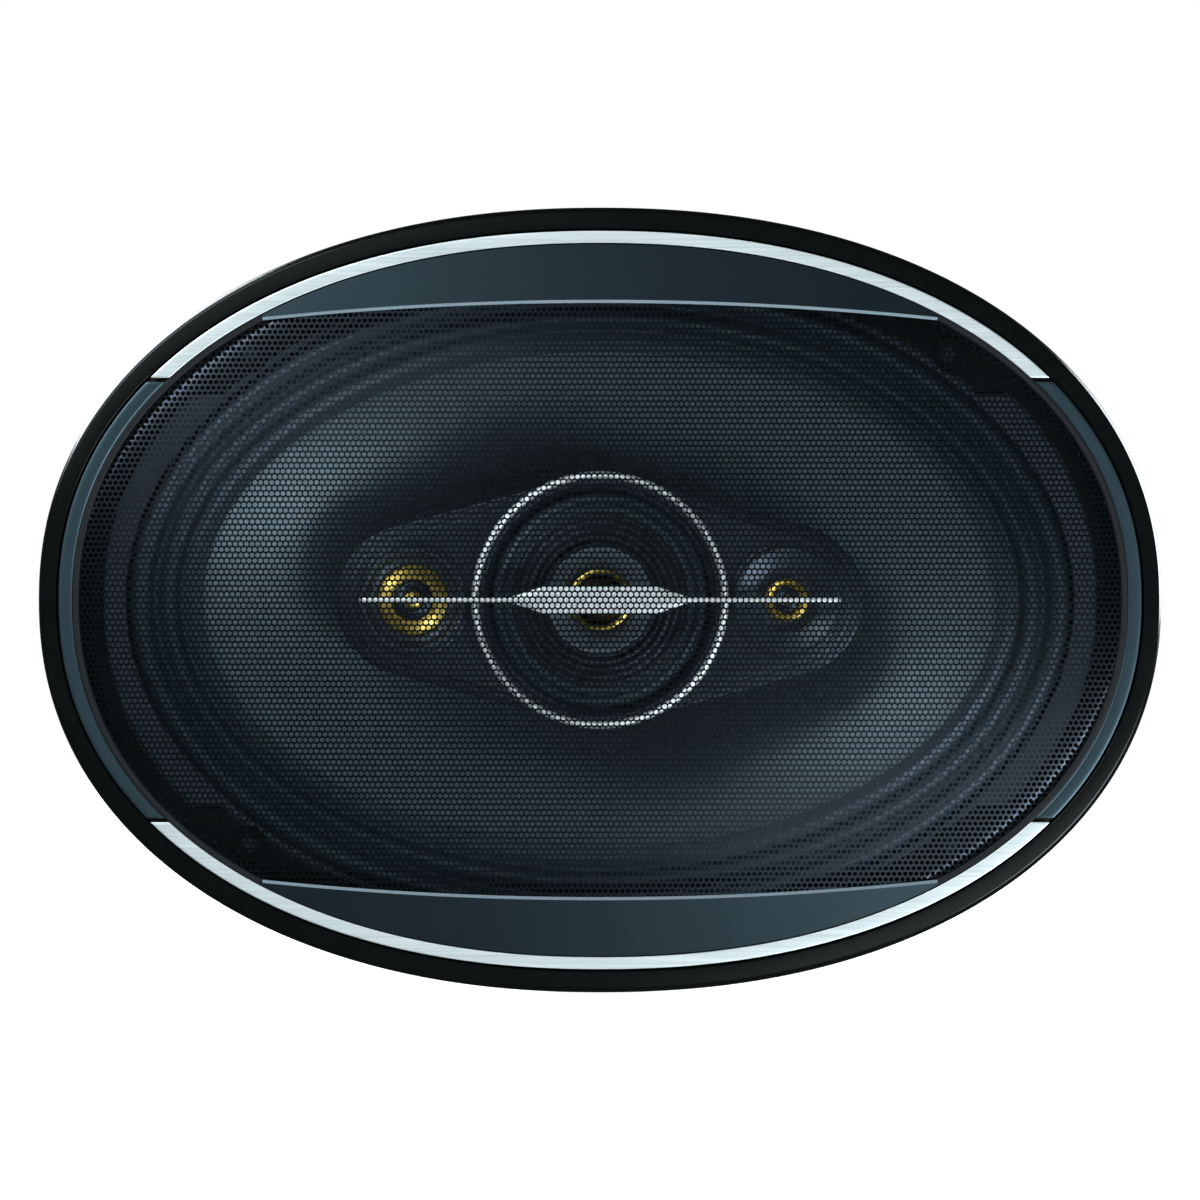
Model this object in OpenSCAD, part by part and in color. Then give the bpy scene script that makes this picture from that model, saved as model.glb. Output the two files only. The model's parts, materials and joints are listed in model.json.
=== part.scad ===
// Oval four-way coaxial car speaker with a removable grille.
//
// Every piece is modelled with the listening side towards +Z and the back face of the
// basket flange, which is the mounting plane, at z = 0. The last section turns the whole
// speaker so that the listening side faces -Y and +Z is up. Sizes are in millimetres.

/* [Trim ring and grille] */
// Half length of the outer trim ring
trim_half_length = 123; // [102:1:150]
// Half height of the outer trim ring
trim_half_height = 86; // [71:1:104]
// Squareness of the trim ovals, where 2 is a plain ellipse
trim_exponent = 2.17; // [2:0.01:2.4]
// Width of the outer trim ring, seen from the front
trim_width = 4.7; // [3.8:0.1:6]
// Height of the outer trim ring above the mounting plane
trim_height = 9.5; // [8:0.5:12]
// Width of the bright strips and dark accents inside the trim ring
band_width = 3.05; // [2.4:0.05:4]
// Thickness of the bright strips
strip_thickness = 1.2; // [0.8:0.1:1.6]
// Height above the centre line at which a bright strip ends
strip_end_height = 48.6; // [40:0.2:60]
// Half height of the open mesh at the middle of the grille
mesh_half_height = 64.6; // [54:0.2:70]
// Radius of the long arc that edges the upper and lower panels
panel_edge_radius = 734; // [500:1:1200]
// Height of the mesh rim above the mounting plane
mesh_rim_height = 9.4; // [9:0.1:11]
// Height that the mesh domes above its rim
mesh_dome = 5.6; // [5:0.1:8]
// Thickness of the mesh sheet
mesh_thickness = 0.8; // [0.6:0.1:1.2]
// Thickness of the upper and lower panels
panel_thickness = 2.0; // [1.4:0.1:3]

/* [Basket and motor] */
// Thickness of the stamped basket
basket_sheet = 1.2; // [0.8:0.1:1.6]
// How far the flange edge is set in from the trim ring
flange_inset = 4.5; // [4:0.1:6]
// Radius of a mounting hole
mounting_hole_radius = 2.25; // [2:0.05:3]
// Distance from the surround's edge to a mounting hole, along each axis
mounting_hole_offset = 4.8; // [4.6:0.1:7]
// Depth of the spider seat behind the mounting plane
spider_depth = 38; // [32:1:46]
// Depth of the basket floor behind the spider seat
floor_depth = 12; // [10:0.5:15]
// Outer radius of the spider
spider_radius = 43; // [36:0.5:52]
// Radius of the voice coil former
coil_radius = 17.6; // [14:0.1:21]
// Outer radius of the magnet
magnet_radius = 45; // [38:0.5:54]
// Thickness of the magnet
magnet_thickness = 16; // [13:0.5:20]
// Thickness of the top plate
top_plate_thickness = 5; // [4:0.5:7]
// Thickness of the back plate
back_plate_thickness = 6; // [4:0.5:8]

/* [Cone] */
// Distance from the trim ring's end to the surround's outer edge
surround_inset_length = 18.8; // [18:0.1:24]
// Distance from the trim ring's top to the surround's outer edge
surround_inset_height = 14.5; // [14:0.1:20]
// Width of the surround from the cone's edge to the gasket
surround_width = 14.7; // [12:0.1:17]
// Depth of the cone from its edge to its neck
cone_depth = 35; // [30:0.5:38]
// Thickness of the cone, measured along the speaker's axis
cone_thickness = 1.2; // [0.8:0.1:1.6]
// Curvature of the cone, where 1 is straight
cone_flare = 0.8; // [0.7:0.05:1]

/* [Centre module] */
// Outer radius of the bright ring round the midrange
mid_ring_radius = 28.15; // [24:0.05:33]
// Gap between the bright ring and a tweeter pod
tweeter_gap = 1.25; // [0.9:0.05:5]
// Radius of the rounded ends of the module
lobe_radius = 16.8; // [14:0.1:20]
// Radius of a tweeter pod
pod_radius = 11.6; // [10:0.1:13]
// Outer radius of the left tweeter's gilt ring
left_ring_radius = 7.5; // [6:0.1:8.5]
// Outer radius of the right tweeter's gilt ring
right_ring_radius = 4.8; // [4:0.1:5.8]
// Wall thickness of the module's mouldings
module_wall = 1.6; // [1.2:0.1:2]
// Outer radius of the centre post
post_radius = 5; // [4:0.1:6]
// Half length of the badge plate
badge_half_length = 20.2; // [16:0.1:24]
// Half height of the badge plate
badge_half_height = 2.9; // [2:0.1:4]
// Width of the bar that carries the badge
bar_width = 1.3; // [1:0.1:2]

/* [Hidden] */

$fn = 96;
oval_steps = 96;      // points round each oval
gap = 0.3;            // clearance between pieces that move apart
seat = 0.1;           // clearance between glued or seated pieces
overlap = 0.6;        // depth to which joined parts of one piece run into each other

// Ovals, from the outside in
cover_a = trim_half_length - trim_width - gap;
cover_b = trim_half_height - trim_width - gap;
mesh_a = cover_a - band_width - 0.15;
mesh_b = cover_b - band_width - 0.15;
flange_a = trim_half_length - flange_inset;
flange_b = trim_half_height - flange_inset;
surround_a = trim_half_length - surround_inset_length;
surround_b = trim_half_height - surround_inset_height;
cone_a = surround_a - surround_width;
cone_b = surround_b - surround_width;
foot_width = 1.6;     // glued foot of the surround

// Mounting holes, and the corner of the gasket next to them
hole_x = (surround_a + mounting_hole_offset) * cos(45);
hole_y = (surround_b + mounting_hole_offset) * sin(45);
gasket_corner_y = hole_y - 8;
gasket_side_a = trim_half_length - 13.3;
gasket_side_b = trim_half_height - 12;
screw_head_radius = 3.6;

// Heights above the mounting plane
shelf_top = basket_sheet + 1.8;
gasket_bottom = basket_sheet + 0.6;
gasket_top = basket_sheet + 3.2;
cover_bottom = shelf_top + gap;
cover_top = mesh_rim_height - 0.4;
cone_edge_z = 3;
neck_z = cone_edge_z - cone_depth;
floor_z = -spider_depth - floor_depth;
magnet_top_z = floor_z - top_plate_thickness;
magnet_bottom_z = magnet_top_z - magnet_thickness;
back_z = magnet_bottom_z - back_plate_thickness;

// Basket and motor radii
wall_a = surround_a + 0.3;
wall_b = surround_b + 0.3;
seat_radius = spider_radius + 1.2;
cup_radius = spider_radius - 4;
former_wall = 0.3;
winding_wall = 0.7;
pole_radius = coil_radius - former_wall - 1.1;
gap_radius = coil_radius + winding_wall + 0.5;
former_bottom_z = magnet_top_z - 5;
winding_height = top_plate_thickness + 7;
winding_z = magnet_top_z + top_plate_thickness / 2 - winding_height / 2;
spoke_half_width_side = 13;   // spokes on the long axis
spoke_half_width_top = 11;    // spokes on the short axis

// Centre module
mid_bore = mid_ring_radius - 1.65;
tweeter_distance = mid_ring_radius + tweeter_gap + pod_radius;
housing_radius = mid_ring_radius - 0.55;
housing_bottom_z = -2;
housing_top_z = 8;
ring_seat_z = housing_top_z + 1.5;
ring_top_z = ring_seat_z + 2.5;
pod_top_z = housing_top_z + 2;
cover_plate_z = housing_bottom_z - module_wall;
bowl_top_radius = mid_bore - 4;
bowl_bottom_z = -20;
bar_thickness = 1;
badge_thickness = 0.7;

// Terminals
board_z = -22;
board_thickness = 2;
board_half_width = 22;
board_inner_y = seat_radius + 12.3;
board_outer_y = board_inner_y + 13.5;
board_y = (surround_b - 71.5);    // the board follows the basket's top spoke
tab_x = 16;

// ---------------------------------------------------------------- shapes

function signed_power(v, p) = sign(v) * pow(abs(v), p);

// An oval outline with half length a, half height b and squareness n
function oval(a, b, n = trim_exponent) = [
    for (i = [0 : oval_steps - 1])
        let (t = 360 * i / oval_steps)
        [a * signed_power(cos(t), 2 / n), b * signed_power(sin(t), 2 / n)]
];

// The same outline as points at height z
function oval_at(a, b, z, n = trim_exponent) = [for (p = oval(a, b, n)) [p[0], p[1], z]];

module oval_plate(a, b, z0, z1, n = trim_exponent) {
    translate([0, 0, z0]) linear_extrude(z1 - z0) polygon(oval(a, b, n));
}

module oval_band(a, b, width, z0, z1, n = trim_exponent) {
    translate([0, 0, z0]) linear_extrude(z1 - z0) difference() {
        polygon(oval(a, b, n));
        polygon(oval(a - width, b - width, n));
    }
}

// A ring whose section is the closed loop of outlines in rings, listed anticlockwise
// when the section is seen with the axis on its left
module ring_loft(rings) {
    m = len(rings);
    k = len(rings[0]);
    polyhedron(
        points = [for (r = rings) each r],
        faces = [
            for (i = [0 : m - 1], j = [0 : k - 1])
                let (i2 = (i + 1) % m, j2 = (j + 1) % k)
                each [
                    [i * k + j, i2 * k + j2, i * k + j2],
                    [i * k + j, i2 * k + j, i2 * k + j2]
                ]
        ]
    );
}

// A solid through outlines listed from the bottom up, closed at both ends at a centre point
module capped_loft(rings, bottom_z, top_z) {
    m = len(rings);
    k = len(rings[0]);
    low = m * k;
    high = m * k + 1;
    polyhedron(
        points = concat([for (r = rings) each r], [[0, 0, bottom_z], [0, 0, top_z]]),
        faces = concat(
            [for (i = [0 : m - 2], j = [0 : k - 1])
                let (j2 = (j + 1) % k)
                each [
                    [i * k + j, (i + 1) * k + j2, i * k + j2],
                    [i * k + j, (i + 1) * k + j, (i + 1) * k + j2]
                ]],
            [for (j = [0 : k - 1]) [low, j, (j + 1) % k]],
            [for (j = [0 : k - 1]) [high, (m - 1) * k + (j + 1) % k, (m - 1) * k + j]]
        )
    );
}

module tube(outer, inner, z0, z1) {
    translate([0, 0, z0]) difference() {
        cylinder(r = outer, h = z1 - z0);
        translate([0, 0, -1]) cylinder(r = inner, h = z1 - z0 + 2);
    }
}

module at_mounting_holes() {
    for (x = [-hole_x, hole_x], y = [-hole_y, hole_y]) translate([x, y, 0]) children();
}

// A tube of radius r swept along the points of a path
module lead(path, r) {
    sides = 8;
    last = len(path) - 1;
    function direction(i) =
        let (d = path[min(i + 1, last)] - path[max(i - 1, 0)]) d / norm(d);
    function across(i) =
        let (d = direction(i), c = cross(d, [1, 0, 0])) c / norm(c);
    points = [
        for (i = [0 : last], j = [0 : sides - 1])
            let (d = direction(i), u = across(i), w = cross(d, u), t = 360 * j / sides)
            path[i] + r * (u * cos(t) + w * sin(t))
    ];
    polyhedron(
        points = points,
        faces = concat(
            [for (i = [0 : last - 1], j = [0 : sides - 1])
                let (j2 = (j + 1) % sides)
                [i * sides + j, (i + 1) * sides + j, (i + 1) * sides + j2, i * sides + j2]],
            [[for (j = [0 : sides - 1]) j]],
            [[for (j = [0 : sides - 1]) last * sides + sides - 1 - j]]
        )
    );
}

// ---------------------------------------------------------------- outer ring and basket

// The opening in the base ring, which the gasket fills
module gasket_outline(clearance) {
    polygon(oval(surround_a + foot_width + 0.4 - clearance,
                 surround_b + foot_width + 0.4 - clearance, 2));
    intersection() {
        polygon(oval(gasket_side_a - clearance, gasket_side_b - clearance));
        square([2 * trim_half_length, 2 * (gasket_corner_y - clearance)], center = true);
    }
}

// The same opening, notched round the mounting screws
module notched_gasket_outline(clearance) {
    difference() {
        gasket_outline(clearance);
        for (x = [-hole_x, hole_x], y = [-hole_y, hole_y])
            translate([x, y]) circle(r = screw_head_radius + 0.4 + clearance);
    }
}

module at_clips() {
    a = cover_a - band_width / 2;
    b = cover_b - band_width / 2;
    for (t = [35, 65, 115, 145, 215, 245, 295, 325])
        translate([a * signed_power(cos(t), 2 / trim_exponent),
                   b * signed_power(sin(t), 2 / trim_exponent), 0])
            rotate([0, 0, atan2(a * sin(t), b * cos(t)) + 90]) children();
}

clip_length = 7;
clip_width = 1.4;

module base_ring() {
    inner_a = trim_half_length - trim_width;
    inner_b = trim_half_height - trim_width;
    color([0.03, 0.035, 0.04]) difference() {
        union() {
            // rim with a skirt that hides the edge of the flange
            ring_loft([
                oval_at(flange_a + gap, flange_b + gap, 0),
                oval_at(trim_half_length, trim_half_height, 0),
                oval_at(trim_half_length, trim_half_height, trim_height - 3),
                oval_at(trim_half_length - 0.8, trim_half_height - 0.8, trim_height - 1),
                oval_at(trim_half_length - 2.4, trim_half_height - 2.4, trim_height),
                oval_at(inner_a, inner_b, trim_height),
                oval_at(inner_a, inner_b, shelf_top - 0.6),
                oval_at(flange_a + gap, flange_b + gap, shelf_top - 1)
            ]);
            // shelf that lies on the flange
            translate([0, 0, basket_sheet]) linear_extrude(shelf_top - basket_sheet) difference() {
                polygon(oval(inner_a + 1, inner_b + 1));
                notched_gasket_outline(0);
            }
        }
        at_mounting_holes() {
            translate([0, 0, -1]) cylinder(r = mounting_hole_radius, h = 8);
            translate([0, 0, shelf_top - 1]) cylinder(r = screw_head_radius, h = 3);
        }
        at_clips() translate([0, 0, shelf_top - 1])
            cube([clip_length + 2 * gap, clip_width + 2 * gap, 4], center = true);
    }
}

// One set of wall outlines, from the flange to the spider seat. The lift keeps the sheet's
// thickness where the wall slopes.
function basket_wall(inset, lift) = [
    oval_at(wall_a - inset, wall_b - inset, basket_sheet / 2, 2),
    oval_at(wall_a - 1.5 - inset, wall_b - 1.5 - inset, -5 + lift, 2),
    oval_at(seat_radius + 0.13 * (wall_a - seat_radius) - inset,
            seat_radius + 0.13 * (wall_b - seat_radius) - inset, -spider_depth + 8 + lift, 2),
    oval_at(seat_radius + 0.8 - inset, seat_radius + 0.8 - inset, -spider_depth, 2)
];

function reversed(list) = [for (i = [len(list) - 1 : -1 : 0]) list[i]];

// The four windows between the spokes, seen from the front
module window_outline() {
    difference() {
        polygon(oval(wall_a - 7, wall_b - 6, 2));
        polygon(oval(seat_radius + 0.12 * (wall_a - seat_radius),
                     seat_radius + 0.12 * (wall_b - seat_radius), 2));
        square([2 * trim_half_length, 2 * spoke_half_width_side], center = true);
        square([2 * spoke_half_width_top, 2 * trim_half_height], center = true);
    }
}

module basket() {
    color([0.05, 0.05, 0.055]) difference() {
        union() {
            translate([0, 0, 0]) linear_extrude(basket_sheet) difference() {
                polygon(oval(flange_a, flange_b));
                polygon(oval(wall_a - basket_sheet - 0.3, wall_b - basket_sheet - 0.3, 2));
            }
            ring_loft(concat(reversed(basket_wall(0, 0)), basket_wall(basket_sheet, 0.8)));
            // spider seat, cup and floor
            rotate_extrude() polygon([
                [gap_radius + 3, floor_z], [cup_radius + basket_sheet, floor_z],
                [cup_radius + basket_sheet, -spider_depth - basket_sheet],
                [seat_radius + 1.6, -spider_depth - basket_sheet],
                [seat_radius + 1.6, -spider_depth],
                [cup_radius, -spider_depth],
                [cup_radius, floor_z + basket_sheet], [gap_radius + 3, floor_z + basket_sheet]
            ]);
            // folded tab that carries the terminal board
            translate([-spoke_half_width_top, board_inner_y + board_y - 3.5, board_z])
                cube([2 * spoke_half_width_top, board_outer_y - board_inner_y - 2, basket_sheet]);
        }
        translate([0, 0, -spider_depth + 2]) linear_extrude(spider_depth - 5) window_outline();
        at_mounting_holes() translate([0, 0, -1]) cylinder(r = mounting_hole_radius, h = 4);
        at_motor_screws() translate([0, 0, floor_z - 1]) cylinder(r = 2.05, h = 4);
        at_board_rivets() translate([0, 0, board_z - 1]) cylinder(r = 1.55, h = 4);
    }
}

module surround_gasket() {
    color([0.07, 0.07, 0.08]) translate([0, 0, gasket_bottom])
        linear_extrude(gasket_top - gasket_bottom) difference() {
            notched_gasket_outline(0.2);
            polygon(oval(surround_a, surround_b, 2));
        }
}

// ---------------------------------------------------------------- motor

module at_motor_screws() {
    for (t = [45 : 90 : 315]) rotate([0, 0, t]) translate([cup_radius - 6, 0, 0]) children();
}

module motor_screws() {
    color([0.75, 0.75, 0.72]) at_motor_screws() {
        translate([0, 0, floor_z - 3]) cylinder(r = 2, h = 3 + basket_sheet);
        translate([0, 0, floor_z + basket_sheet]) cylinder(r = 3.4, h = 1.6);
    }
}

module top_plate() {
    color([0.5, 0.5, 0.5]) difference() {
        tube(magnet_radius - 3, gap_radius, magnet_top_z, floor_z);
        at_motor_screws() translate([0, 0, floor_z - 3.1]) cylinder(r = 2.05, h = 4);
    }
}

module magnet() {
    color([0.12, 0.12, 0.12]) tube(magnet_radius, gap_radius + 4, magnet_bottom_z, magnet_top_z);
}

module yoke() {
    color([0.55, 0.55, 0.55]) rotate_extrude() polygon([
        [post_radius + 0.05, back_z], [magnet_radius - 4, back_z],
        [magnet_radius - 3, back_z + 1], [magnet_radius - 3, magnet_bottom_z],
        [pole_radius + 2, magnet_bottom_z], [pole_radius, magnet_bottom_z + 2],
        [pole_radius, floor_z], [post_radius + 0.05, floor_z]
    ]);
}

module rear_label() {
    color([0.75, 0.76, 0.78]) tube(magnet_radius - 8, post_radius + 8, back_z - 0.15, back_z);
}

module centre_post() {
    color([0.6, 0.6, 0.62]) rotate_extrude() polygon([
        [post_radius - 1.8, back_z - 6], [post_radius, back_z - 6], [post_radius, floor_z + seat],
        [post_radius + 2.5, floor_z + seat], [post_radius + 2.5, bowl_bottom_z - 3],
        [post_radius + 4, bowl_bottom_z], [post_radius - 1.8, bowl_bottom_z]
    ]);
}

module post_washer() {
    color([0.8, 0.8, 0.78]) tube(post_radius + 5, post_radius + 0.05, back_z - 1.2, back_z);
}

module post_nut() {
    color([0.8, 0.8, 0.78]) translate([0, 0, back_z - 5.4]) difference() {
        cylinder(r = post_radius + 3.4, h = 4.2, $fn = 6);
        translate([0, 0, -1]) cylinder(r = post_radius + 0.05, h = 7);
    }
}

// ---------------------------------------------------------------- terminals

module at_board_rivets() {
    for (x = [-7, 7]) translate([x, board_inner_y + board_y + 4, 0]) children();
}

module terminal_board() {
    color([0.32, 0.22, 0.14]) difference() {
        translate([-board_half_width, board_inner_y + board_y, board_z - board_thickness])
            cube([2 * board_half_width, board_outer_y - board_inner_y, board_thickness]);
        at_board_rivets() translate([0, 0, board_z - 4]) cylinder(r = 1.55, h = 6);
    }
}

module board_rivets() {
    color([0.8, 0.78, 0.7]) at_board_rivets() {
        translate([0, 0, board_z - board_thickness]) cylinder(r = 1.5, h = board_thickness + basket_sheet);
        translate([0, 0, board_z + basket_sheet]) cylinder(r = 2.6, h = 0.8);
        translate([0, 0, board_z - board_thickness - 0.8]) cylinder(r = 2.6, h = 0.8);
    }
}

// A blade terminal that stands off the back of the board on a riveted foot
module blade(width) {
    top = board_z - board_thickness;
    difference() {
        translate([-width / 2, -0.4, top - 10]) cube([width, 0.8, 9.2]);
        translate([0, 2, top - 7]) rotate([90, 0, 0]) cylinder(r = 0.8, h = 4);
    }
    translate([-width / 2, -0.4, top - 0.8]) cube([width, 6, 0.8]);
}

module positive_tab() {
    color([0.85, 0.75, 0.45]) translate([tab_x, board_inner_y + board_y + 6, 0]) blade(6.3);
}

module negative_tab() {
    color([0.8, 0.8, 0.8]) translate([-tab_x, board_inner_y + board_y + 6, 0]) blade(4.75);
}

capacitor_radius = 4.2;
capacitor_length = 19;

module crossover_capacitor() {
    color([0.1, 0.16, 0.35])
        translate([-capacitor_length / 2, board_inner_y + board_y + 8.5,
                   board_z - board_thickness - 0.9 - capacitor_radius])
            rotate([0, 90, 0]) cylinder(r = capacitor_radius, h = capacitor_length);
}

// ---------------------------------------------------------------- woofer

// Half length, half height and height of the cone at share s, from its neck to its edge
function cone_station(s, drop) = oval_at(
    coil_radius + seat + (cone_a - coil_radius - seat) * s,
    coil_radius + seat + (cone_b - coil_radius - seat) * s,
    neck_z + cone_depth * pow(s, cone_flare) - drop, 2);

cone_shares = [0, 0.08, 0.2, 0.4, 0.65, 1];

module woofer_cone() {
    color([0.16, 0.18, 0.2]) ring_loft(concat(
        [for (s = cone_shares) cone_station(s, cone_thickness)],
        [for (s = reversed(cone_shares)) cone_station(s, 0)]
    ));
}

// Distance out from the cone's edge, and height, along the surround's upper face
surround_profile = [
    [-1.8, cone_edge_z + 0.6], [0.8, cone_edge_z + 0.4], [2.7, cone_edge_z - 0.6],
    [3.9, cone_edge_z + 1.4], [5.1, cone_edge_z + 2.4], [6.5, cone_edge_z + 1.6],
    [8.3, cone_edge_z - 0.2], [9.9, cone_edge_z + 2.0], [11.5, cone_edge_z + 2.8],
    [13.2, cone_edge_z + 1.6], [surround_width - 0.2, basket_sheet + 0.5],
    [surround_width + foot_width, basket_sheet + 0.5]
];
surround_thickness = 0.4;

function surround_ring(p, drop) = oval_at(cone_a + p[0], cone_b + p[0], p[1] - drop, 2);

module surround() {
    color([0.06, 0.06, 0.065]) difference() {
        ring_loft(concat(
            [for (p = surround_profile) surround_ring(p, surround_thickness)],
            [for (p = reversed(surround_profile)) surround_ring(p, 0)]
        ));
        // the foot is notched round the mounting screws
        at_mounting_holes() cylinder(r = screw_head_radius + 0.4 + gap, h = gasket_bottom);
    }
}

spider_waves = 5;
spider_sheet = 0.5;

module spider() {
    inner = coil_radius + seat;
    step = (spider_radius - 4 - inner - 1) / (2 * spider_waves);
    crest = [for (i = [0 : 2 * spider_waves])
        [inner + 1 + i * step, -spider_depth + 1.4 + (i % 2 == 0 ? 0 : 2)]];
    upper = concat([[inner, -spider_depth + 1.4 + spider_sheet]],
                   [for (p = crest) [p[0], p[1] + spider_sheet]],
                   [[spider_radius - 3, -spider_depth + seat + spider_sheet],
                    [spider_radius, -spider_depth + seat + spider_sheet]]);
    lower = concat([[inner, -spider_depth + 1.4]], crest,
                   [[spider_radius - 3, -spider_depth + seat], [spider_radius, -spider_depth + seat]]);
    color([0.62, 0.5, 0.26]) rotate_extrude() polygon(concat(upper, reversed(lower)));
}

module coil_former() {
    color([0.75, 0.7, 0.6])
        tube(coil_radius, coil_radius - former_wall, former_bottom_z, neck_z + 2);
}

module coil_winding() {
    color([0.72, 0.4, 0.2])
        tube(coil_radius + winding_wall, coil_radius, winding_z, winding_z + winding_height);
}

// The positive lead leaves the board's front face, sags, and rises to the back of the cone
lead_radius = 0.8;
lead_steps = 12;
lead_share = 0.46;
lead_x = 14;
lead_start = [tab_x, board_inner_y + board_y + 6, board_z + lead_radius + seat];
lead_end_a = coil_radius + (cone_a - coil_radius) * lead_share;
lead_end_b = coil_radius + (cone_b - coil_radius) * lead_share;
lead_end = [
    lead_x,
    lead_end_b * sqrt(1 - pow(lead_x / lead_end_a, 2)),
    neck_z + cone_depth * pow(lead_share, cone_flare) - cone_thickness - 1.4
];

module positive_tinsel_lead() {
    path = [
        for (i = [0 : lead_steps])
            let (t = i / lead_steps)
            lead_start + (lead_end - lead_start) * t + [0, 0, 3.2 * sin(360 * t)]
    ];
    color([0.75, 0.55, 0.35]) lead(path, lead_radius);
}

module negative_tinsel_lead() {
    mirror([1, 0, 0]) positive_tinsel_lead();
}

// ---------------------------------------------------------------- centre module

// The outline through the two round ends and the middle, grown by a margin
module module_outline(margin) {
    hull() {
        circle(r = housing_radius + margin);
        for (x = [-tweeter_distance, tweeter_distance])
            translate([x, 0]) circle(r = lobe_radius + margin);
    }
}

module at_module_screws() {
    for (x = [-tweeter_distance + 12.8, tweeter_distance - 12.8], y = [-16.5, 16.5])
        translate([x, y, 0]) children();
}

module module_housing() {
    color([0.09, 0.1, 0.11]) difference() {
        union() {
            translate([0, 0, housing_bottom_z])
                linear_extrude(housing_top_z - 2.2 - housing_bottom_z) module_outline(0);
            translate([0, 0, housing_top_z - 2.2]) linear_extrude(1.1) module_outline(-0.9);
            translate([0, 0, housing_top_z - 1.1]) linear_extrude(1.1) module_outline(-2.2);
            cylinder(r = mid_ring_radius - 0.2, h = ring_seat_z);
            for (x = [-tweeter_distance, tweeter_distance])
                translate([x, 0, 0]) cylinder(r = pod_radius + 1, h = housing_top_z + 0.6);
        }
        difference() {
            translate([0, 0, housing_bottom_z - 1])
                linear_extrude(housing_top_z - 2.2 - module_wall - housing_bottom_z + 1)
                    module_outline(-module_wall);
            at_module_screws() translate([0, 0, housing_bottom_z - 2]) cylinder(r = 2.6, h = 20);
        }
        at_module_screws() translate([0, 0, housing_bottom_z - 2]) cylinder(r = 1.3, h = 6);
        // the bosses end on the back cover
        translate([0, 0, housing_bottom_z - 3]) cube([200, 200, 6], center = true);
        translate([0, 0, housing_bottom_z - 1]) cylinder(r = mid_bore, h = 20);
        for (x = [-tweeter_distance, tweeter_distance])
            translate([x, 0, housing_bottom_z - 1]) cylinder(r = pod_radius - 1.2, h = 20);
    }
}

module module_back_cover() {
    color([0.08, 0.08, 0.085]) difference() {
        union() {
            translate([0, 0, cover_plate_z]) linear_extrude(module_wall - seat) module_outline(-1);
            rotate_extrude() polygon([
                [post_radius + 0.1 - 1.8, bowl_bottom_z + seat], [post_radius + 4, bowl_bottom_z + seat],
                [post_radius + 9, bowl_bottom_z + 3], [bowl_top_radius, cover_plate_z + 0.4],
                [bowl_top_radius - module_wall, cover_plate_z + 1],
                [post_radius + 8, bowl_bottom_z + 4.8], [post_radius + 0.1 - 1.8, bowl_bottom_z + 2]
            ]);
        }
        translate([0, 0, cover_plate_z - 0.5]) cylinder(r = bowl_top_radius - module_wall - 0.2, h = 4);
        at_module_screws() translate([0, 0, cover_plate_z - 1]) cylinder(r = 1.3, h = 5);
    }
}

module module_screws() {
    color([0.35, 0.35, 0.37]) at_module_screws() {
        translate([0, 0, cover_plate_z]) cylinder(r = 1.25, h = 5);
        translate([0, 0, cover_plate_z - 1.1]) cylinder(r = 2.4, h = 1.1);
    }
}

module mid_ring() {
    color([0.8, 0.82, 0.83])
        tube(mid_ring_radius, mid_ring_radius - 1.65, ring_seat_z + seat, ring_top_z);
}

bar_half_length = tweeter_distance + pod_radius;

module badge_bar() {
    color([0.8, 0.82, 0.83]) {
        translate([-bar_half_length, -bar_width / 2, ring_top_z + seat])
            cube([2 * bar_half_length, bar_width, bar_thickness]);
        for (side = [-1, 1])
            translate([side * (bar_half_length - 0.8) - 0.8, -bar_width / 2, pod_top_z + seat])
                cube([1.6, bar_width, ring_top_z - pod_top_z + overlap]);
    }
}

// Half height of the badge plate at share s of its half length
function badge_edge(s) = badge_half_height * (s < 0.62 ? 1 : cos(90 * (s - 0.62) / 0.38) * 0.78 + 0.22 * (1 - s) / 0.38);

module badge_plate() {
    shares = [0, 0.62, 0.7, 0.78, 0.86, 0.93, 1];
    edge = [for (s = shares) [badge_half_length * s, badge_edge(s)]];
    right = concat(edge, [for (p = reversed(edge)) if (p[1] > 0.01) [p[0], -p[1]]]);
    color([0.8, 0.82, 0.83])
        translate([0, 0, ring_top_z + seat + bar_thickness]) linear_extrude(badge_thickness) {
            polygon(right);
            mirror([1, 0]) polygon(right);
        }
}

// ---------------------------------------------------------------- midrange

mid_seat_z = 4.6;
mid_surround_outer = mid_bore - 2;
mid_cone_outer = mid_surround_outer - 4.3;
mid_neck_radius = 6.6;
mid_neck_z = -2.4;
whizzer_radius = 11.7;
mid_magnet_top_z = -5.5;

module mid_frame() {
    outer = mid_bore - 0.1;
    color([0.07, 0.07, 0.075]) rotate_extrude() polygon([
        [outer, ring_seat_z], [outer - 0.9, ring_seat_z], [outer - 1.1, mid_seat_z],
        [mid_surround_outer - 1.4, mid_seat_z], [mid_surround_outer - 2, mid_seat_z - 1.2],
        [14, mid_magnet_top_z + 1.2], [8.6, mid_magnet_top_z + 1.2], [8.6, mid_magnet_top_z],
        [14.6, mid_magnet_top_z], [mid_surround_outer - 1.2, mid_seat_z - 2.4],
        [outer, mid_seat_z - 2.4]
    ]);
}

module mid_magnet() {
    color([0.12, 0.12, 0.12]) tube(12.5, 8.6, mid_magnet_top_z - 6, mid_magnet_top_z - seat);
}

module mid_yoke() {
    color([0.55, 0.55, 0.55]) rotate_extrude() polygon([
        [1.5, mid_magnet_top_z - 8], [12, mid_magnet_top_z - 8], [12, mid_magnet_top_z - 6 - seat],
        [5.6, mid_magnet_top_z - 6 - seat], [5.6, mid_magnet_top_z + 1], [1.5, mid_magnet_top_z + 1]
    ]);
}

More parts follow.
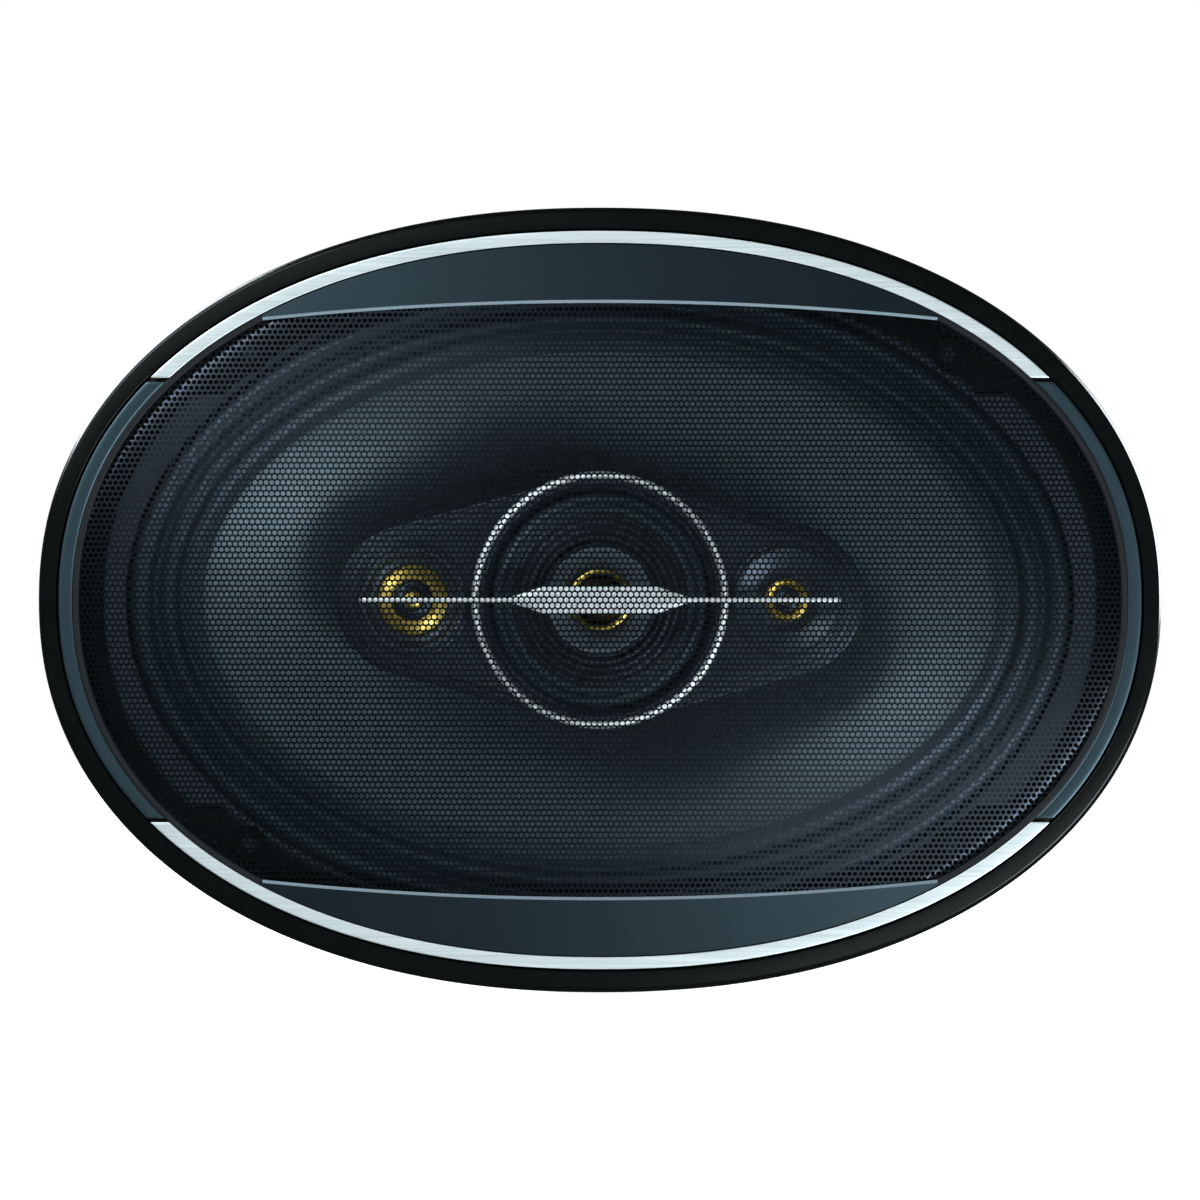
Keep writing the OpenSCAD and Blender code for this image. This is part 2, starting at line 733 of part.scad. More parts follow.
// Radius and height along a moulded ring's upper face, turned into a thin turned shell
module turned_shell(profile, thickness) {
    rotate_extrude() polygon(concat(profile, [for (p = reversed(profile)) [p[0], p[1] - thickness]]));
}

module mid_cone() {
    color([0.12, 0.13, 0.14]) turned_shell([
        [mid_neck_radius + 0.1, mid_neck_z], [9, mid_neck_z + 2.2], [13, mid_neck_z + 4.4],
        [mid_cone_outer - 1, mid_seat_z + 0.8], [mid_cone_outer + 0.6, mid_seat_z + 1.0]
    ], 0.7);
}

module mid_surround() {
    color([0.05, 0.05, 0.055]) turned_shell([
        [mid_cone_outer - 0.6, mid_seat_z + 1.5], [mid_cone_outer + 0.6, mid_seat_z + 1.5],
        [mid_cone_outer + 1.4, mid_seat_z + 2.5], [mid_cone_outer + 2.4, mid_seat_z + 2.9],
        [mid_cone_outer + 3.4, mid_seat_z + 2.4], [mid_surround_outer - 0.3, mid_seat_z + 0.5],
        [mid_surround_outer + 0.7, mid_seat_z + 0.5]
    ], 0.4);
}

module mid_whizzer() {
    color([0.3, 0.32, 0.34]) turned_shell([
        [6.9, 1.4], [8.6, 3.2], [10.4, 4.8], [whizzer_radius, 5.6]
    ], 0.5);
    color([0.3, 0.32, 0.34]) tube(7.4, 6.9, mid_neck_z + 0.9, 1.2);
}

module mid_dust_cap() {
    color([0.72, 0.58, 0.22]) turned_shell([
        [0.01, 2.2], [2.2, 2.0], [4.2, 1.6], [5.4, 2.6], [6.4, 3.2]
    ], 0.5);
}

module mid_coil() {
    color([0.72, 0.4, 0.2]) tube(mid_neck_radius, mid_neck_radius - 0.5, mid_magnet_top_z - 2, mid_neck_z + 0.6);
}

// ---------------------------------------------------------------- tweeters

module at_left_pod() {
    translate([-tweeter_distance, 0, 0]) children();
}

module at_right_pod() {
    translate([tweeter_distance, 0, 0]) children();
}

pod_bore = pod_radius - 1.2;
gilt_z = housing_top_z + 0.2;

module left_faceplate() {
    color([0.08, 0.09, 0.1]) at_left_pod() rotate_extrude() polygon([
        [left_ring_radius + 0.1, housing_top_z - 2.4], [pod_bore - 0.1, housing_top_z - 2.4],
        [pod_bore - 0.1, housing_top_z + 0.7], [pod_radius, housing_top_z + 0.7],
        [pod_radius, pod_top_z], [pod_radius - 1.2, pod_top_z],
        [left_ring_radius + 1.6, housing_top_z - 0.4], [left_ring_radius + 0.1, housing_top_z - 0.8]
    ]);
}

module left_gilt_ring() {
    color([0.72, 0.58, 0.22]) at_left_pod() rotate_extrude() polygon([
        [4.5, housing_top_z - 2.4], [left_ring_radius, housing_top_z - 2.4],
        [left_ring_radius, gilt_z - 0.4],
        [left_ring_radius - 0.6, gilt_z], [left_ring_radius - 1.4, gilt_z],
        [4.9, gilt_z - 0.9], [4.5, gilt_z - 1]
    ]);
}

module left_diaphragm() {
    color([0.2, 0.24, 0.3]) at_left_pod() turned_shell([
        [2.3, gilt_z - 1.6], [3.0, gilt_z - 1.0], [3.8, gilt_z - 1.3], [4.2, gilt_z - 1.6]
    ], 0.3);
}

module left_phase_plug() {
    color([0.72, 0.58, 0.22]) at_left_pod() rotate_extrude() polygon([
        [0, housing_top_z - 2.4], [1.8, housing_top_z - 2.4], [1.8, gilt_z - 1.2], [1.4, gilt_z - 0.5],
        [0.8, gilt_z - 0.1], [0, gilt_z]
    ]);
}

module left_magnet() {
    color([0.6, 0.6, 0.62]) at_left_pod()
        translate([0, 0, housing_bottom_z + 0.2])
            cylinder(r = 9, h = housing_top_z - 2.5 - housing_bottom_z - 0.2);
}

module right_waveguide() {
    color([0.2, 0.22, 0.24]) at_right_pod() rotate_extrude() polygon([
        [right_ring_radius + 0.1, housing_top_z - 2.9], [pod_bore - 0.1, housing_top_z - 2.9],
        [pod_bore - 0.1, housing_top_z + 0.7], [pod_radius, housing_top_z + 0.7],
        [pod_radius, pod_top_z], [pod_radius - 0.8, pod_top_z],
        [right_ring_radius + 2.3, housing_top_z - 0.8], [right_ring_radius + 2.3, housing_top_z - 1.8],
        [right_ring_radius + 0.1, housing_top_z - 1.8]
    ]);
}

module right_gilt_ring() {
    color([0.72, 0.58, 0.22]) at_right_pod() rotate_extrude() polygon([
        [3.1, housing_top_z - 2.9], [right_ring_radius, housing_top_z - 2.9],
        [right_ring_radius, housing_top_z - 1.2], [right_ring_radius - 0.5, housing_top_z - 0.8],
        [3.6, housing_top_z - 1.0], [3.1, housing_top_z - 1.6]
    ]);
}

module right_diaphragm() {
    color([0.2, 0.24, 0.3]) at_right_pod() turned_shell([
        [1.4, housing_top_z - 2.2], [2.0, housing_top_z - 1.8], [2.5, housing_top_z - 2.0], [2.8, housing_top_z - 2.3]
    ], 0.25);
}

module right_phase_plug() {
    color([0.72, 0.58, 0.22]) at_right_pod() rotate_extrude() polygon([
        [0, housing_top_z - 2.9], [1.0, housing_top_z - 2.9], [1.0, housing_top_z - 2.0],
        [0.6, housing_top_z - 1.5], [0, housing_top_z - 1.4]
    ]);
}

module right_magnet() {
    color([0.6, 0.6, 0.62]) at_right_pod()
        translate([0, 0, housing_bottom_z + 0.2])
            cylinder(r = 7, h = housing_top_z - 3 - housing_bottom_z - 0.2);
}

module tweeter_capacitors() {
    color([0.1, 0.16, 0.35]) for (side = [-1, 1])
        translate([side * (tweeter_distance - 2.4), -side * 12.2, housing_bottom_z + 2.3])
            rotate([90, 0, 90]) cylinder(r = 2.2, h = 9, center = true);
}

// ---------------------------------------------------------------- grille

// Share of the half length, and share of the dome's height
dome_stations = [[1, 0], [0.975, 0.3], [0.92, 0.52], [0.75, 0.77], [0.45, 0.94]];

module dome_shell(below, above) {
    lower = [for (s = dome_stations)
        oval_at(mesh_a * s[0], mesh_b * s[0], mesh_rim_height + mesh_dome * s[1] - below)];
    upper = [for (s = dome_stations)
        oval_at(mesh_a * s[0], mesh_b * s[0], mesh_rim_height + mesh_dome * s[1] + above)];
    capped_loft(concat(reversed(lower), upper),
                mesh_rim_height + mesh_dome - below, mesh_rim_height + mesh_dome + above);
}

// The plan of the open mesh, between the edges of the two panels
module mesh_outline(margin) {
    centre = mesh_half_height + margin - panel_edge_radius;
    intersection() {
        translate([0, centre]) circle(r = panel_edge_radius, $fn = 720);
        translate([0, -centre]) circle(r = panel_edge_radius, $fn = 720);
    }
}

module mesh_slab(margin) {
    translate([0, 0, -5]) linear_extrude(trim_height + 30) mesh_outline(margin);
}

module grille_frame() {
    color([0.05, 0.05, 0.055]) {
        oval_band(cover_a, cover_b, band_width, cover_bottom, cover_top);
        oval_band(cover_a - band_width + overlap, cover_b - band_width + overlap, 2.4,
                  cover_top - 2, mesh_rim_height - mesh_thickness - 0.2);
    }
}

module grille_mesh() {
    color([0.06, 0.065, 0.07]) intersection() {
        dome_shell(mesh_thickness, 0);
        mesh_slab(0);
    }
}

// Part of the band between two heights up the front
module band_piece(low, high) {
    intersection() {
        oval_band(cover_a, cover_b, band_width, cover_top, cover_top + strip_thickness);
        translate([-2 * trim_half_length, low, 0]) cube([4 * trim_half_length, high - low, 40]);
    }
}

module upper_strip() {
    color([0.78, 0.83, 0.84]) band_piece(strip_end_height + 0.1, trim_half_height);
}

module lower_strip() {
    color([0.78, 0.83, 0.84]) band_piece(-trim_half_height, -strip_end_height - 0.1);
}

module side_accent() {
    intersection() {
        band_piece(-strip_end_height + 0.1, strip_end_height - 0.1);
        translate([0, -trim_half_height, 0]) cube([trim_half_length, 2 * trim_half_height, 40]);
    }
}

module right_accent() {
    color([0.17, 0.2, 0.22]) side_accent();
}

module left_accent() {
    color([0.17, 0.2, 0.22]) mirror([1, 0, 0]) side_accent();
}

module upper_panel() {
    color([0.16, 0.19, 0.22]) intersection() {
        difference() {
            dome_shell(mesh_thickness, panel_thickness - mesh_thickness);
            mesh_slab(seat);
        }
        translate([-trim_half_length, 0, 0]) cube([2 * trim_half_length, trim_half_height, 40]);
    }
}

module lower_panel() {
    mirror([0, 1, 0]) upper_panel();
}

module grille_clips() {
    color([0.05, 0.05, 0.055]) at_clips()
        translate([-clip_length / 2, -clip_width / 2, shelf_top - 1.2])
            cube([clip_length, clip_width, cover_bottom - shelf_top + 1.2]);
}

// ---------------------------------------------------------------- assembly

module face_front() {
    rotate([90, 0, 0]) children();
}

face_front() base_ring();
face_front() basket();
face_front() surround_gasket();
face_front() motor_screws();
face_front() top_plate();
face_front() magnet();
face_front() yoke();
face_front() rear_label();
face_front() centre_post();
face_front() post_washer();
face_front() post_nut();
face_front() terminal_board();
face_front() board_rivets();
face_front() positive_tab();
face_front() negative_tab();
face_front() crossover_capacitor();
face_front() woofer_cone();
face_front() surround();
face_front() spider();
face_front() coil_former();
face_front() coil_winding();
face_front() positive_tinsel_lead();
face_front() negative_tinsel_lead();
face_front() module_housing();
face_front() module_back_cover();
face_front() module_screws();
face_front() mid_ring();
face_front() badge_bar();
face_front() badge_plate();
face_front() mid_frame();
face_front() mid_magnet();
face_front() mid_yoke();
face_front() mid_cone();
face_front() mid_surround();
face_front() mid_whizzer();
face_front() mid_dust_cap();
face_front() mid_coil();
face_front() left_faceplate();
face_front() left_gilt_ring();
face_front() left_diaphragm();
face_front() left_phase_plug();
face_front() left_magnet();
face_front() right_waveguide();
face_front() right_gilt_ring();
face_front() right_diaphragm();
face_front() right_phase_plug();
face_front() right_magnet();
face_front() tweeter_capacitors();
face_front() grille_frame();
face_front() grille_mesh();
face_front() upper_strip();
face_front() lower_strip();
face_front() left_accent();
face_front() right_accent();
face_front() upper_panel();
face_front() lower_panel();
face_front() grille_clips();
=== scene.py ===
"""Oval coaxial car speaker: the finished look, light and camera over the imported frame.

Pieces are shaped in a bench frame with the listening side towards +Z and sizes in
millimetres, then stood up into the row frame, where the listening side faces -Y.
"""

import json
import logging
import math
from collections.abc import Callable, Sequence
from dataclasses import dataclass
from enum import Enum

import bmesh
import bpy
from mathutils import Matrix, Vector

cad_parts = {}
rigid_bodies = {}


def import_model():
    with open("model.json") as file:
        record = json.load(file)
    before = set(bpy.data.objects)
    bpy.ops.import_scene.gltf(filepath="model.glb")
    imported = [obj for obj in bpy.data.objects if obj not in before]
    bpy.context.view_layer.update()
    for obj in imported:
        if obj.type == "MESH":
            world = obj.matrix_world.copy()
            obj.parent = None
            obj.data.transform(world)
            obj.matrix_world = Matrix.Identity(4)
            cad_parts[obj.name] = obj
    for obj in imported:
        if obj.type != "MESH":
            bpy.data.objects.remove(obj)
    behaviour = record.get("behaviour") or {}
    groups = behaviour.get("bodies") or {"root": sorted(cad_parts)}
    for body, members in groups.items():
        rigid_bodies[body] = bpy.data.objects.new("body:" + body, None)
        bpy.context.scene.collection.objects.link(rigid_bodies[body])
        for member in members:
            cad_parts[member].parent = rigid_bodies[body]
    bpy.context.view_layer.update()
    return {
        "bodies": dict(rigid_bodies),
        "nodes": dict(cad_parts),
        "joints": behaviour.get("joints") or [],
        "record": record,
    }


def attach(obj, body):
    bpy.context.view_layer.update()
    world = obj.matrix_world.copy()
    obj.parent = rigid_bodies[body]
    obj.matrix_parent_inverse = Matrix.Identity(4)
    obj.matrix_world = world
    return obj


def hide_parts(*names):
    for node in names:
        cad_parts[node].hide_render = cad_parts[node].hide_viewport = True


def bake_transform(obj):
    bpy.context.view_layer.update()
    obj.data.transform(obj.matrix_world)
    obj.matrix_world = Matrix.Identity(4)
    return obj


LOG = logging.getLogger("speaker")
MM = 0.001
TRIM = 2.17  # squareness of the trim ovals

Point2 = tuple[float, float]
Point3 = tuple[float, float, float]
Tree = bpy.types.NodeTree
Node = bpy.types.Node


class Body(Enum):
    """The rigid bodies that pieces ride on."""

    BASKET = "basket_assembly"
    WOOFER = "woofer_cone"
    MIDRANGE = "midrange_cone"
    LEFT_DOME = "left_tweeter_dome"
    RIGHT_DOME = "right_tweeter_dome"
    GRILLE = "grille"


# ------------------------------------------------------------------ bench work


def deselect() -> None:
    """Leave edit mode and deselect everything."""
    if bpy.context.object and bpy.context.object.mode != "OBJECT":
        bpy.ops.object.mode_set(mode="OBJECT")
    bpy.ops.object.select_all(action="DESELECT")


def pick(piece: bpy.types.Object) -> None:
    """Select one piece alone and make it active.

    Args:
        piece: the object to select.
    """
    deselect()
    piece.select_set(True)
    bpy.context.view_layer.objects.active = piece


def tidy(piece: bpy.types.Object, smooth: float = 35.0) -> bpy.types.Object:
    """Merge doubles, turn faces outwards and smooth what is flatter than an angle.

    Args:
        piece: the mesh to tidy.
        smooth: edges sharper than this many degrees stay sharp.

    Returns:
        The same piece.
    """
    pick(piece)
    bpy.ops.object.mode_set(mode="EDIT")
    bpy.ops.mesh.select_all(action="SELECT")
    bpy.ops.mesh.remove_doubles(threshold=2e-6)
    bpy.ops.mesh.normals_make_consistent(inside=False)
    bpy.ops.object.mode_set(mode="OBJECT")
    bpy.ops.object.shade_smooth_by_angle(angle=math.radians(smooth))
    return piece


def apply_modifier(piece: bpy.types.Object, kind: str, **settings: object) -> None:
    """Add a modifier to a piece with its settings and apply it.

    Args:
        piece: the mesh to change.
        kind: the modifier's type.
        settings: the modifier's properties.
    """
    pick(piece)
    modifier = piece.modifiers.new(kind.title(), kind)
    for key, value in settings.items():
        setattr(modifier, key, value)
    bpy.ops.object.modifier_apply(modifier=modifier.name)


def rounded(corners: Sequence[tuple[float, ...]], steps: int = 4) -> list[Point2]:
    """Round the corners of a section.

    Args:
        corners: points (x, y) or (x, y, radius) in order.
        steps: number of chords in each rounded corner.

    Returns:
        The points of the rounded section.
    """
    points: list[Point2] = []
    for i, corner in enumerate(corners):
        here = Vector(corner[:2])
        radius = corner[2] if len(corner) > 2 else 0.0
        if radius <= 0 or i in (0, len(corners) - 1):
            points.append((here.x, here.y))
            continue
        before = Vector(corners[i - 1][:2]) - here
        after = Vector(corners[i + 1][:2]) - here
        half = before.angle(after) / 2
        reach = min(radius / math.tan(half), 0.49 * before.length, 0.49 * after.length)
        start = here + before.normalized() * reach
        end = here + after.normalized() * reach
        for k in range(steps + 1):
            t = k / steps
            spot = start * (1 - t) ** 2 + here * 2 * t * (1 - t) + end * t**2
            points.append((spot.x, spot.y))
    return points


def lathe(
    name: str, section: Sequence[Point2], steps: int = 128, closed: bool = True,
    start: float = 0.0, sweep: float = 360.0, smooth: float = 35.0,
) -> bpy.types.Object:
    """Turn a section about the axis: a vertex is extruded along it and then spun.

    Args:
        name: the piece's name.
        section: points (radius, height) in millimetres.
        steps: number of steps of the spin.
        closed: whether the section's end joins its start.
        start: angle at which the spin starts, in degrees.
        sweep: angle of the spin, in degrees.
        smooth: edges sharper than this many degrees stay sharp.

    Returns:
        The turned piece.
    """
    deselect()
    bpy.ops.mesh.primitive_plane_add(size=MM)
    piece = bpy.context.object
    piece.name = piece.data.name = name
    bpy.ops.object.mode_set(mode="EDIT")
    bpy.ops.mesh.select_mode(type="VERT")
    bpy.ops.mesh.select_all(action="SELECT")
    bpy.ops.mesh.merge(type="CENTER")
    bpy.ops.transform.translate(value=(section[0][0] * MM, 0, section[0][1] * MM))
    path = list(section[1:]) + ([section[0]] if closed else [])
    here = section[0]
    for spot in path:
        move = ((spot[0] - here[0]) * MM, 0, (spot[1] - here[1]) * MM)
        bpy.ops.mesh.extrude_vertices_move(TRANSFORM_OT_translate={"value": move})
        here = spot
    bpy.ops.mesh.select_all(action="SELECT")
    if closed:
        bpy.ops.mesh.remove_doubles(threshold=1e-7)
        bpy.ops.mesh.select_all(action="SELECT")
    bpy.ops.mesh.spin(
        steps=steps, angle=math.radians(sweep), center=(0, 0, 0), axis=(0, 0, 1)
    )
    bpy.ops.object.mode_set(mode="OBJECT")
    piece.data.transform(Matrix.Rotation(math.radians(start), 4, "Z"))
    return tidy(piece, smooth)


def signed_power(value: float, power: float) -> float:
    """Raise a number's size to a power and keep its sign."""
    return math.copysign(abs(value) ** power, value)


def oval_point(a: float, b: float, angle: float, n: float = TRIM) -> Point2:
    """The point of an oval at an angle in radians, for half length a and half height b.

    Args:
        a: half length.
        b: half height.
        angle: angle round the oval in radians.
        n: power of the oval; 2 is an ellipse.

    Returns:
        The point in plan.
    """
    return (
        a * signed_power(math.cos(angle), 2 / n),
        b * signed_power(math.sin(angle), 2 / n),
    )


def table_value(table: Sequence[tuple[float, ...]], key: float, column: int) -> float:
    """Read a column of a table at a key, with straight lines between and past its rows.

    Args:
        table: rows whose first column is the key, in rising order.
        key: the key to read at.
        column: the column to read.

    Returns:
        The value, with straight lines between the rows.
    """
    low, high = table[0], table[1]
    for row, following in zip(table, table[1:]):
        if key >= row[0]:
            low, high = row, following
    share = (key - low[0]) / (high[0] - low[0])
    return low[column] + share * (high[column] - low[column])


def press(piece: bpy.types.Object, table: Sequence[tuple[float, ...]]) -> bpy.types.Object:
    """Press a turned piece into an oval.

    Args:
        piece: a piece turned about the axis.
        table: rows (radius, half length, half height, squareness), rising by radius.

    Returns:
        The same piece, with each vertex moved to the oval of its radius.
    """
    for vertex in piece.data.vertices:
        x, y, z = vertex.co / MM
        radius = math.hypot(x, y)
        angle = math.atan2(y, x)
        a = table_value(table, radius, 1)
        b = table_value(table, radius, 2)
        n = min(max(table_value(table, radius, 3), 2.0), 2.3)
        px, py = oval_point(a, b, angle, n)
        vertex.co = Vector((px, py, z)) * MM
    piece.data.update()
    return piece


def outline_plate(
    name: str, outline: Sequence[Point2], low: float, high: float, bevel: float = 0.0,
    both: bool = False, segments: int = 3,
) -> bpy.types.Object:
    """Make a flat plate: a filled circle is moved onto an outline, extruded and bevelled.

    Args:
        name: the piece's name.
        outline: points of the outline in millimetres.
        low: height of its underside.
        high: height of its upper side.
        bevel: width of the rounding of its upper edge.
        both: whether the lower edge is rounded too.
        segments: number of chords in the rounding.

    Returns:
        The plate.
    """
    deselect()
    bpy.ops.mesh.primitive_circle_add(
        vertices=len(outline), radius=MM, fill_type="NGON", location=(0, 0, 0)
    )
    piece = bpy.context.object
    piece.name = piece.data.name = name
    for vertex, spot in zip(piece.data.vertices, outline):
        vertex.co = Vector((spot[0], spot[1], low)) * MM
    bpy.ops.object.mode_set(mode="EDIT")
    bpy.ops.mesh.select_all(action="SELECT")
    bpy.ops.mesh.extrude_region_move(
        TRANSFORM_OT_translate={"value": (0, 0, (high - low) * MM)}
    )
    if bevel > 0:
        if both:
            bpy.ops.mesh.select_all(action="DESELECT")
            mesh = bmesh.from_edit_mesh(piece.data)
            for face in mesh.faces:
                face.select_set(len(face.verts) > 4 or len(outline) <= 4 and
                                max(v.co.z for v in face.verts) - min(v.co.z for v in face.verts) < 1e-7)
            bmesh.update_edit_mesh(piece.data)
        bpy.ops.mesh.bevel(offset=bevel * MM, segments=segments, affect="EDGES")
    bpy.ops.object.mode_set(mode="OBJECT")
    return tidy(piece, 30)


def block(
    name: str, low: Point3, high: Point3, bevel: float = 0.15, segments: int = 2
) -> bpy.types.Object:
    """Make a bevelled block between two corners in millimetres.

    Args:
        name: name of the new object.
        low: lowest corner in millimetres.
        high: highest corner in millimetres.
        bevel: radius of its edges in millimetres.
        segments: facets across each rounded edge.

    Returns:
        The block.
    """
    outline = [(low[0], low[1]), (high[0], low[1]), (high[0], high[1]), (low[0], high[1])]
    piece = outline_plate(name, outline, low[2], high[2])
    apply_modifier(piece, "BEVEL", width=bevel * MM, segments=segments, limit_method="ANGLE")
    return tidy(piece, 30)


def drum(
    name: str, centre: Point3, radius: float, height: float, steps: int = 32,
    bevel: float = 0.0,
) -> bpy.types.Object:
    """Make a round pin or plug that stands up from a centre, with bevelled ends.

    Args:
        name: name of the new object.
        centre: middle of its foot in millimetres.
        radius: its radius in millimetres.
        height: its height in millimetres.
        steps: facets round it.
        bevel: radius of its edges in millimetres.

    Returns:
        The drum.
    """
    deselect()
    bpy.ops.mesh.primitive_cylinder_add(
        vertices=steps, radius=radius * MM, depth=height * MM,
        location=(centre[0] * MM, centre[1] * MM, (centre[2] + height / 2) * MM),
    )
    piece = bpy.context.object
    piece.name = piece.data.name = name
    bpy.ops.object.transform_apply(location=True, rotation=True, scale=True)
    if bevel > 0:
        apply_modifier(
            piece, "BEVEL", width=bevel * MM, segments=2, limit_method="ANGLE",
            angle_limit=math.radians(50),
        )
    return tidy(piece, 30)


def patch(
    name: str, across: int, along: int, rule: Callable[[float, float], Point3],
    thickness: float, bevel: float = 0.0,
) -> bpy.types.Object:
    """Make a curved plate: a grid is laid on a rule and given its thickness.

    Args:
        name: the piece's name.
        across: number of cells for the rule's first share.
        along: number of cells for the rule's second share.
        rule: gives a point in millimetres for two shares from 0 to 1.
        thickness: thickness below the upper face, in millimetres.
        bevel: width of the rounding of its edges.

    Returns:
        The curved plate.
    """
    deselect()
    bpy.ops.mesh.primitive_grid_add(x_subdivisions=across, y_subdivisions=along, size=1)
    piece = bpy.context.object
    piece.name = piece.data.name = name
    for vertex in piece.data.vertices:
        share = (vertex.co.x + 0.5, vertex.co.y + 0.5)
        vertex.co = Vector(rule(*share)) * MM
    deselect()
    pick(piece)
    bpy.ops.object.mode_set(mode="EDIT")
    bpy.ops.mesh.select_all(action="SELECT")
    bpy.ops.mesh.remove_doubles(threshold=2e-6)
    bpy.ops.mesh.normals_make_consistent(inside=False)
    bpy.ops.object.mode_set(mode="OBJECT")
    if sum(p.normal.z * p.area for p in piece.data.polygons) < 0:
        piece.data.flip_normals()
    apply_modifier(piece, "SOLIDIFY", thickness=thickness * MM, offset=-1, use_even_offset=True)
    if bevel > 0:
        apply_modifier(
            piece, "BEVEL", width=bevel * MM, segments=2, limit_method="ANGLE",
            angle_limit=math.radians(50),
        )
    return tidy(piece, 30)


def cut(piece: bpy.types.Object, cutters: Sequence[bpy.types.Object]) -> bpy.types.Object:
    """Cut pieces out of a piece and throw the cutters away.

    Args:
        piece: the piece to cut.
        cutters: the pieces to take away from it.

    Returns:
        The cut piece.
    """
    for cutter in cutters:
        apply_modifier(piece, "BOOLEAN", object=cutter, operation="DIFFERENCE", solver="EXACT")
        bpy.data.objects.remove(cutter, do_unlink=True)
    return tidy(piece, 30)


def join(name: str, parts: Sequence[bpy.types.Object]) -> bpy.types.Object:
    """Join several meshes into one piece with a new name.

    Args:
        name: name of the new object.
        parts: the pieces to join.

    Returns:
        The joined piece.
    """
    deselect()
    for part in parts:
        part.select_set(True)
    bpy.context.view_layer.objects.active = parts[0]
    bpy.ops.object.join()
    piece = bpy.context.object
    piece.name = piece.data.name = name
    return piece


def copy_at(piece: bpy.types.Object, name: str, move: Matrix) -> bpy.types.Object:
    """Copy a piece with its own mesh, moved by a matrix whose shifts are in millimetres.

    Args:
        piece: the piece to copy.
        name: name of the copy.
        move: the matrix that places the copy.

    Returns:
        The copy.
    """
    twin = piece.copy()
    twin.data = piece.data.copy()
    twin.name = twin.data.name = name
    bpy.context.scene.collection.objects.link(twin)
    scaled = move.copy()
    scaled.translation = move.translation * MM
    twin.data.transform(scaled)
    if scaled.determinant() < 0:
        twin.data.flip_normals()
    return twin


def shift(piece: bpy.types.Object, x: float, y: float, z: float) -> bpy.types.Object:
    """Move a piece's mesh by distances in millimetres."""
    piece.data.transform(Matrix.Translation(Vector((x, y, z)) * MM))
    return piece


def tube(
    name: str, path: Sequence[Point3], radius: float, sides: int = 12
) -> bpy.types.Object:
    """Make a round wire along a path, with a UV map along and round it.

    Args:
        name: the piece's name.
        path: points in millimetres.
        radius: the wire's radius in millimetres.
        sides: number of sides of the wire.

    Returns:
        The wire as a closed mesh.
    """
    curve = bpy.data.curves.new(name, "CURVE")
    curve.dimensions = "3D"
    curve.bevel_depth = radius * MM
    curve.bevel_resolution = max(1, sides // 4 - 1)
    curve.use_fill_caps = True
    curve.resolution_u = 6
    spline = curve.splines.new("NURBS")
    spline.points.add(len(path) - 1)
    for point, spot in zip(spline.points, path):
        point.co = (spot[0] * MM, spot[1] * MM, spot[2] * MM, 1)
    spline.use_endpoint_u = True
    spline.order_u = 4
    piece = bpy.data.objects.new(name, curve)
    bpy.context.scene.collection.objects.link(piece)
    pick(piece)
    bpy.ops.object.convert(target="MESH")
    piece = bpy.context.object
    piece.name = piece.data.name = name
    return tidy(piece, 50)


# ------------------------------------------------------------------ finishes


def linear(hex_colour: str) -> tuple[float, float, float, float]:
    """Turn an sRGB hex colour such as "#10161a" into linear red, green, blue and alpha.

    Args:
        hex_colour: the colour as "#rrggbb".

    Returns:
        Linear red, green, blue and an alpha of 1.
    """
    channels = [int(hex_colour[i : i + 2], 16) / 255 for i in (1, 3, 5)]
    return (
        *[c / 12.92 if c <= 0.04045 else ((c + 0.055) / 1.055) ** 2.4 for c in channels],
        1.0,
    )


def add(
    tree: Tree, kind: str, settings: dict[str, object] | None = None,
    links: dict[str | int, bpy.types.NodeSocket] | None = None,
) -> Node:
    """Add a node to a tree, set its properties and sockets, and link its inputs.

    Args:
        tree: the node tree.
        kind: the node's type.
        settings: names of properties or input sockets, with their values.
        links: names or numbers of input sockets, with the outputs that feed them.

    Returns:
        The new node.
    """
    node = tree.nodes.new(kind)
    for key, value in (settings or {}).items():
        if key in node.inputs:
            node.inputs[key].default_value = value
        else:
            setattr(node, key, value)
    for key, output in (links or {}).items():
        tree.links.new(output, node.inputs[key])
    return node


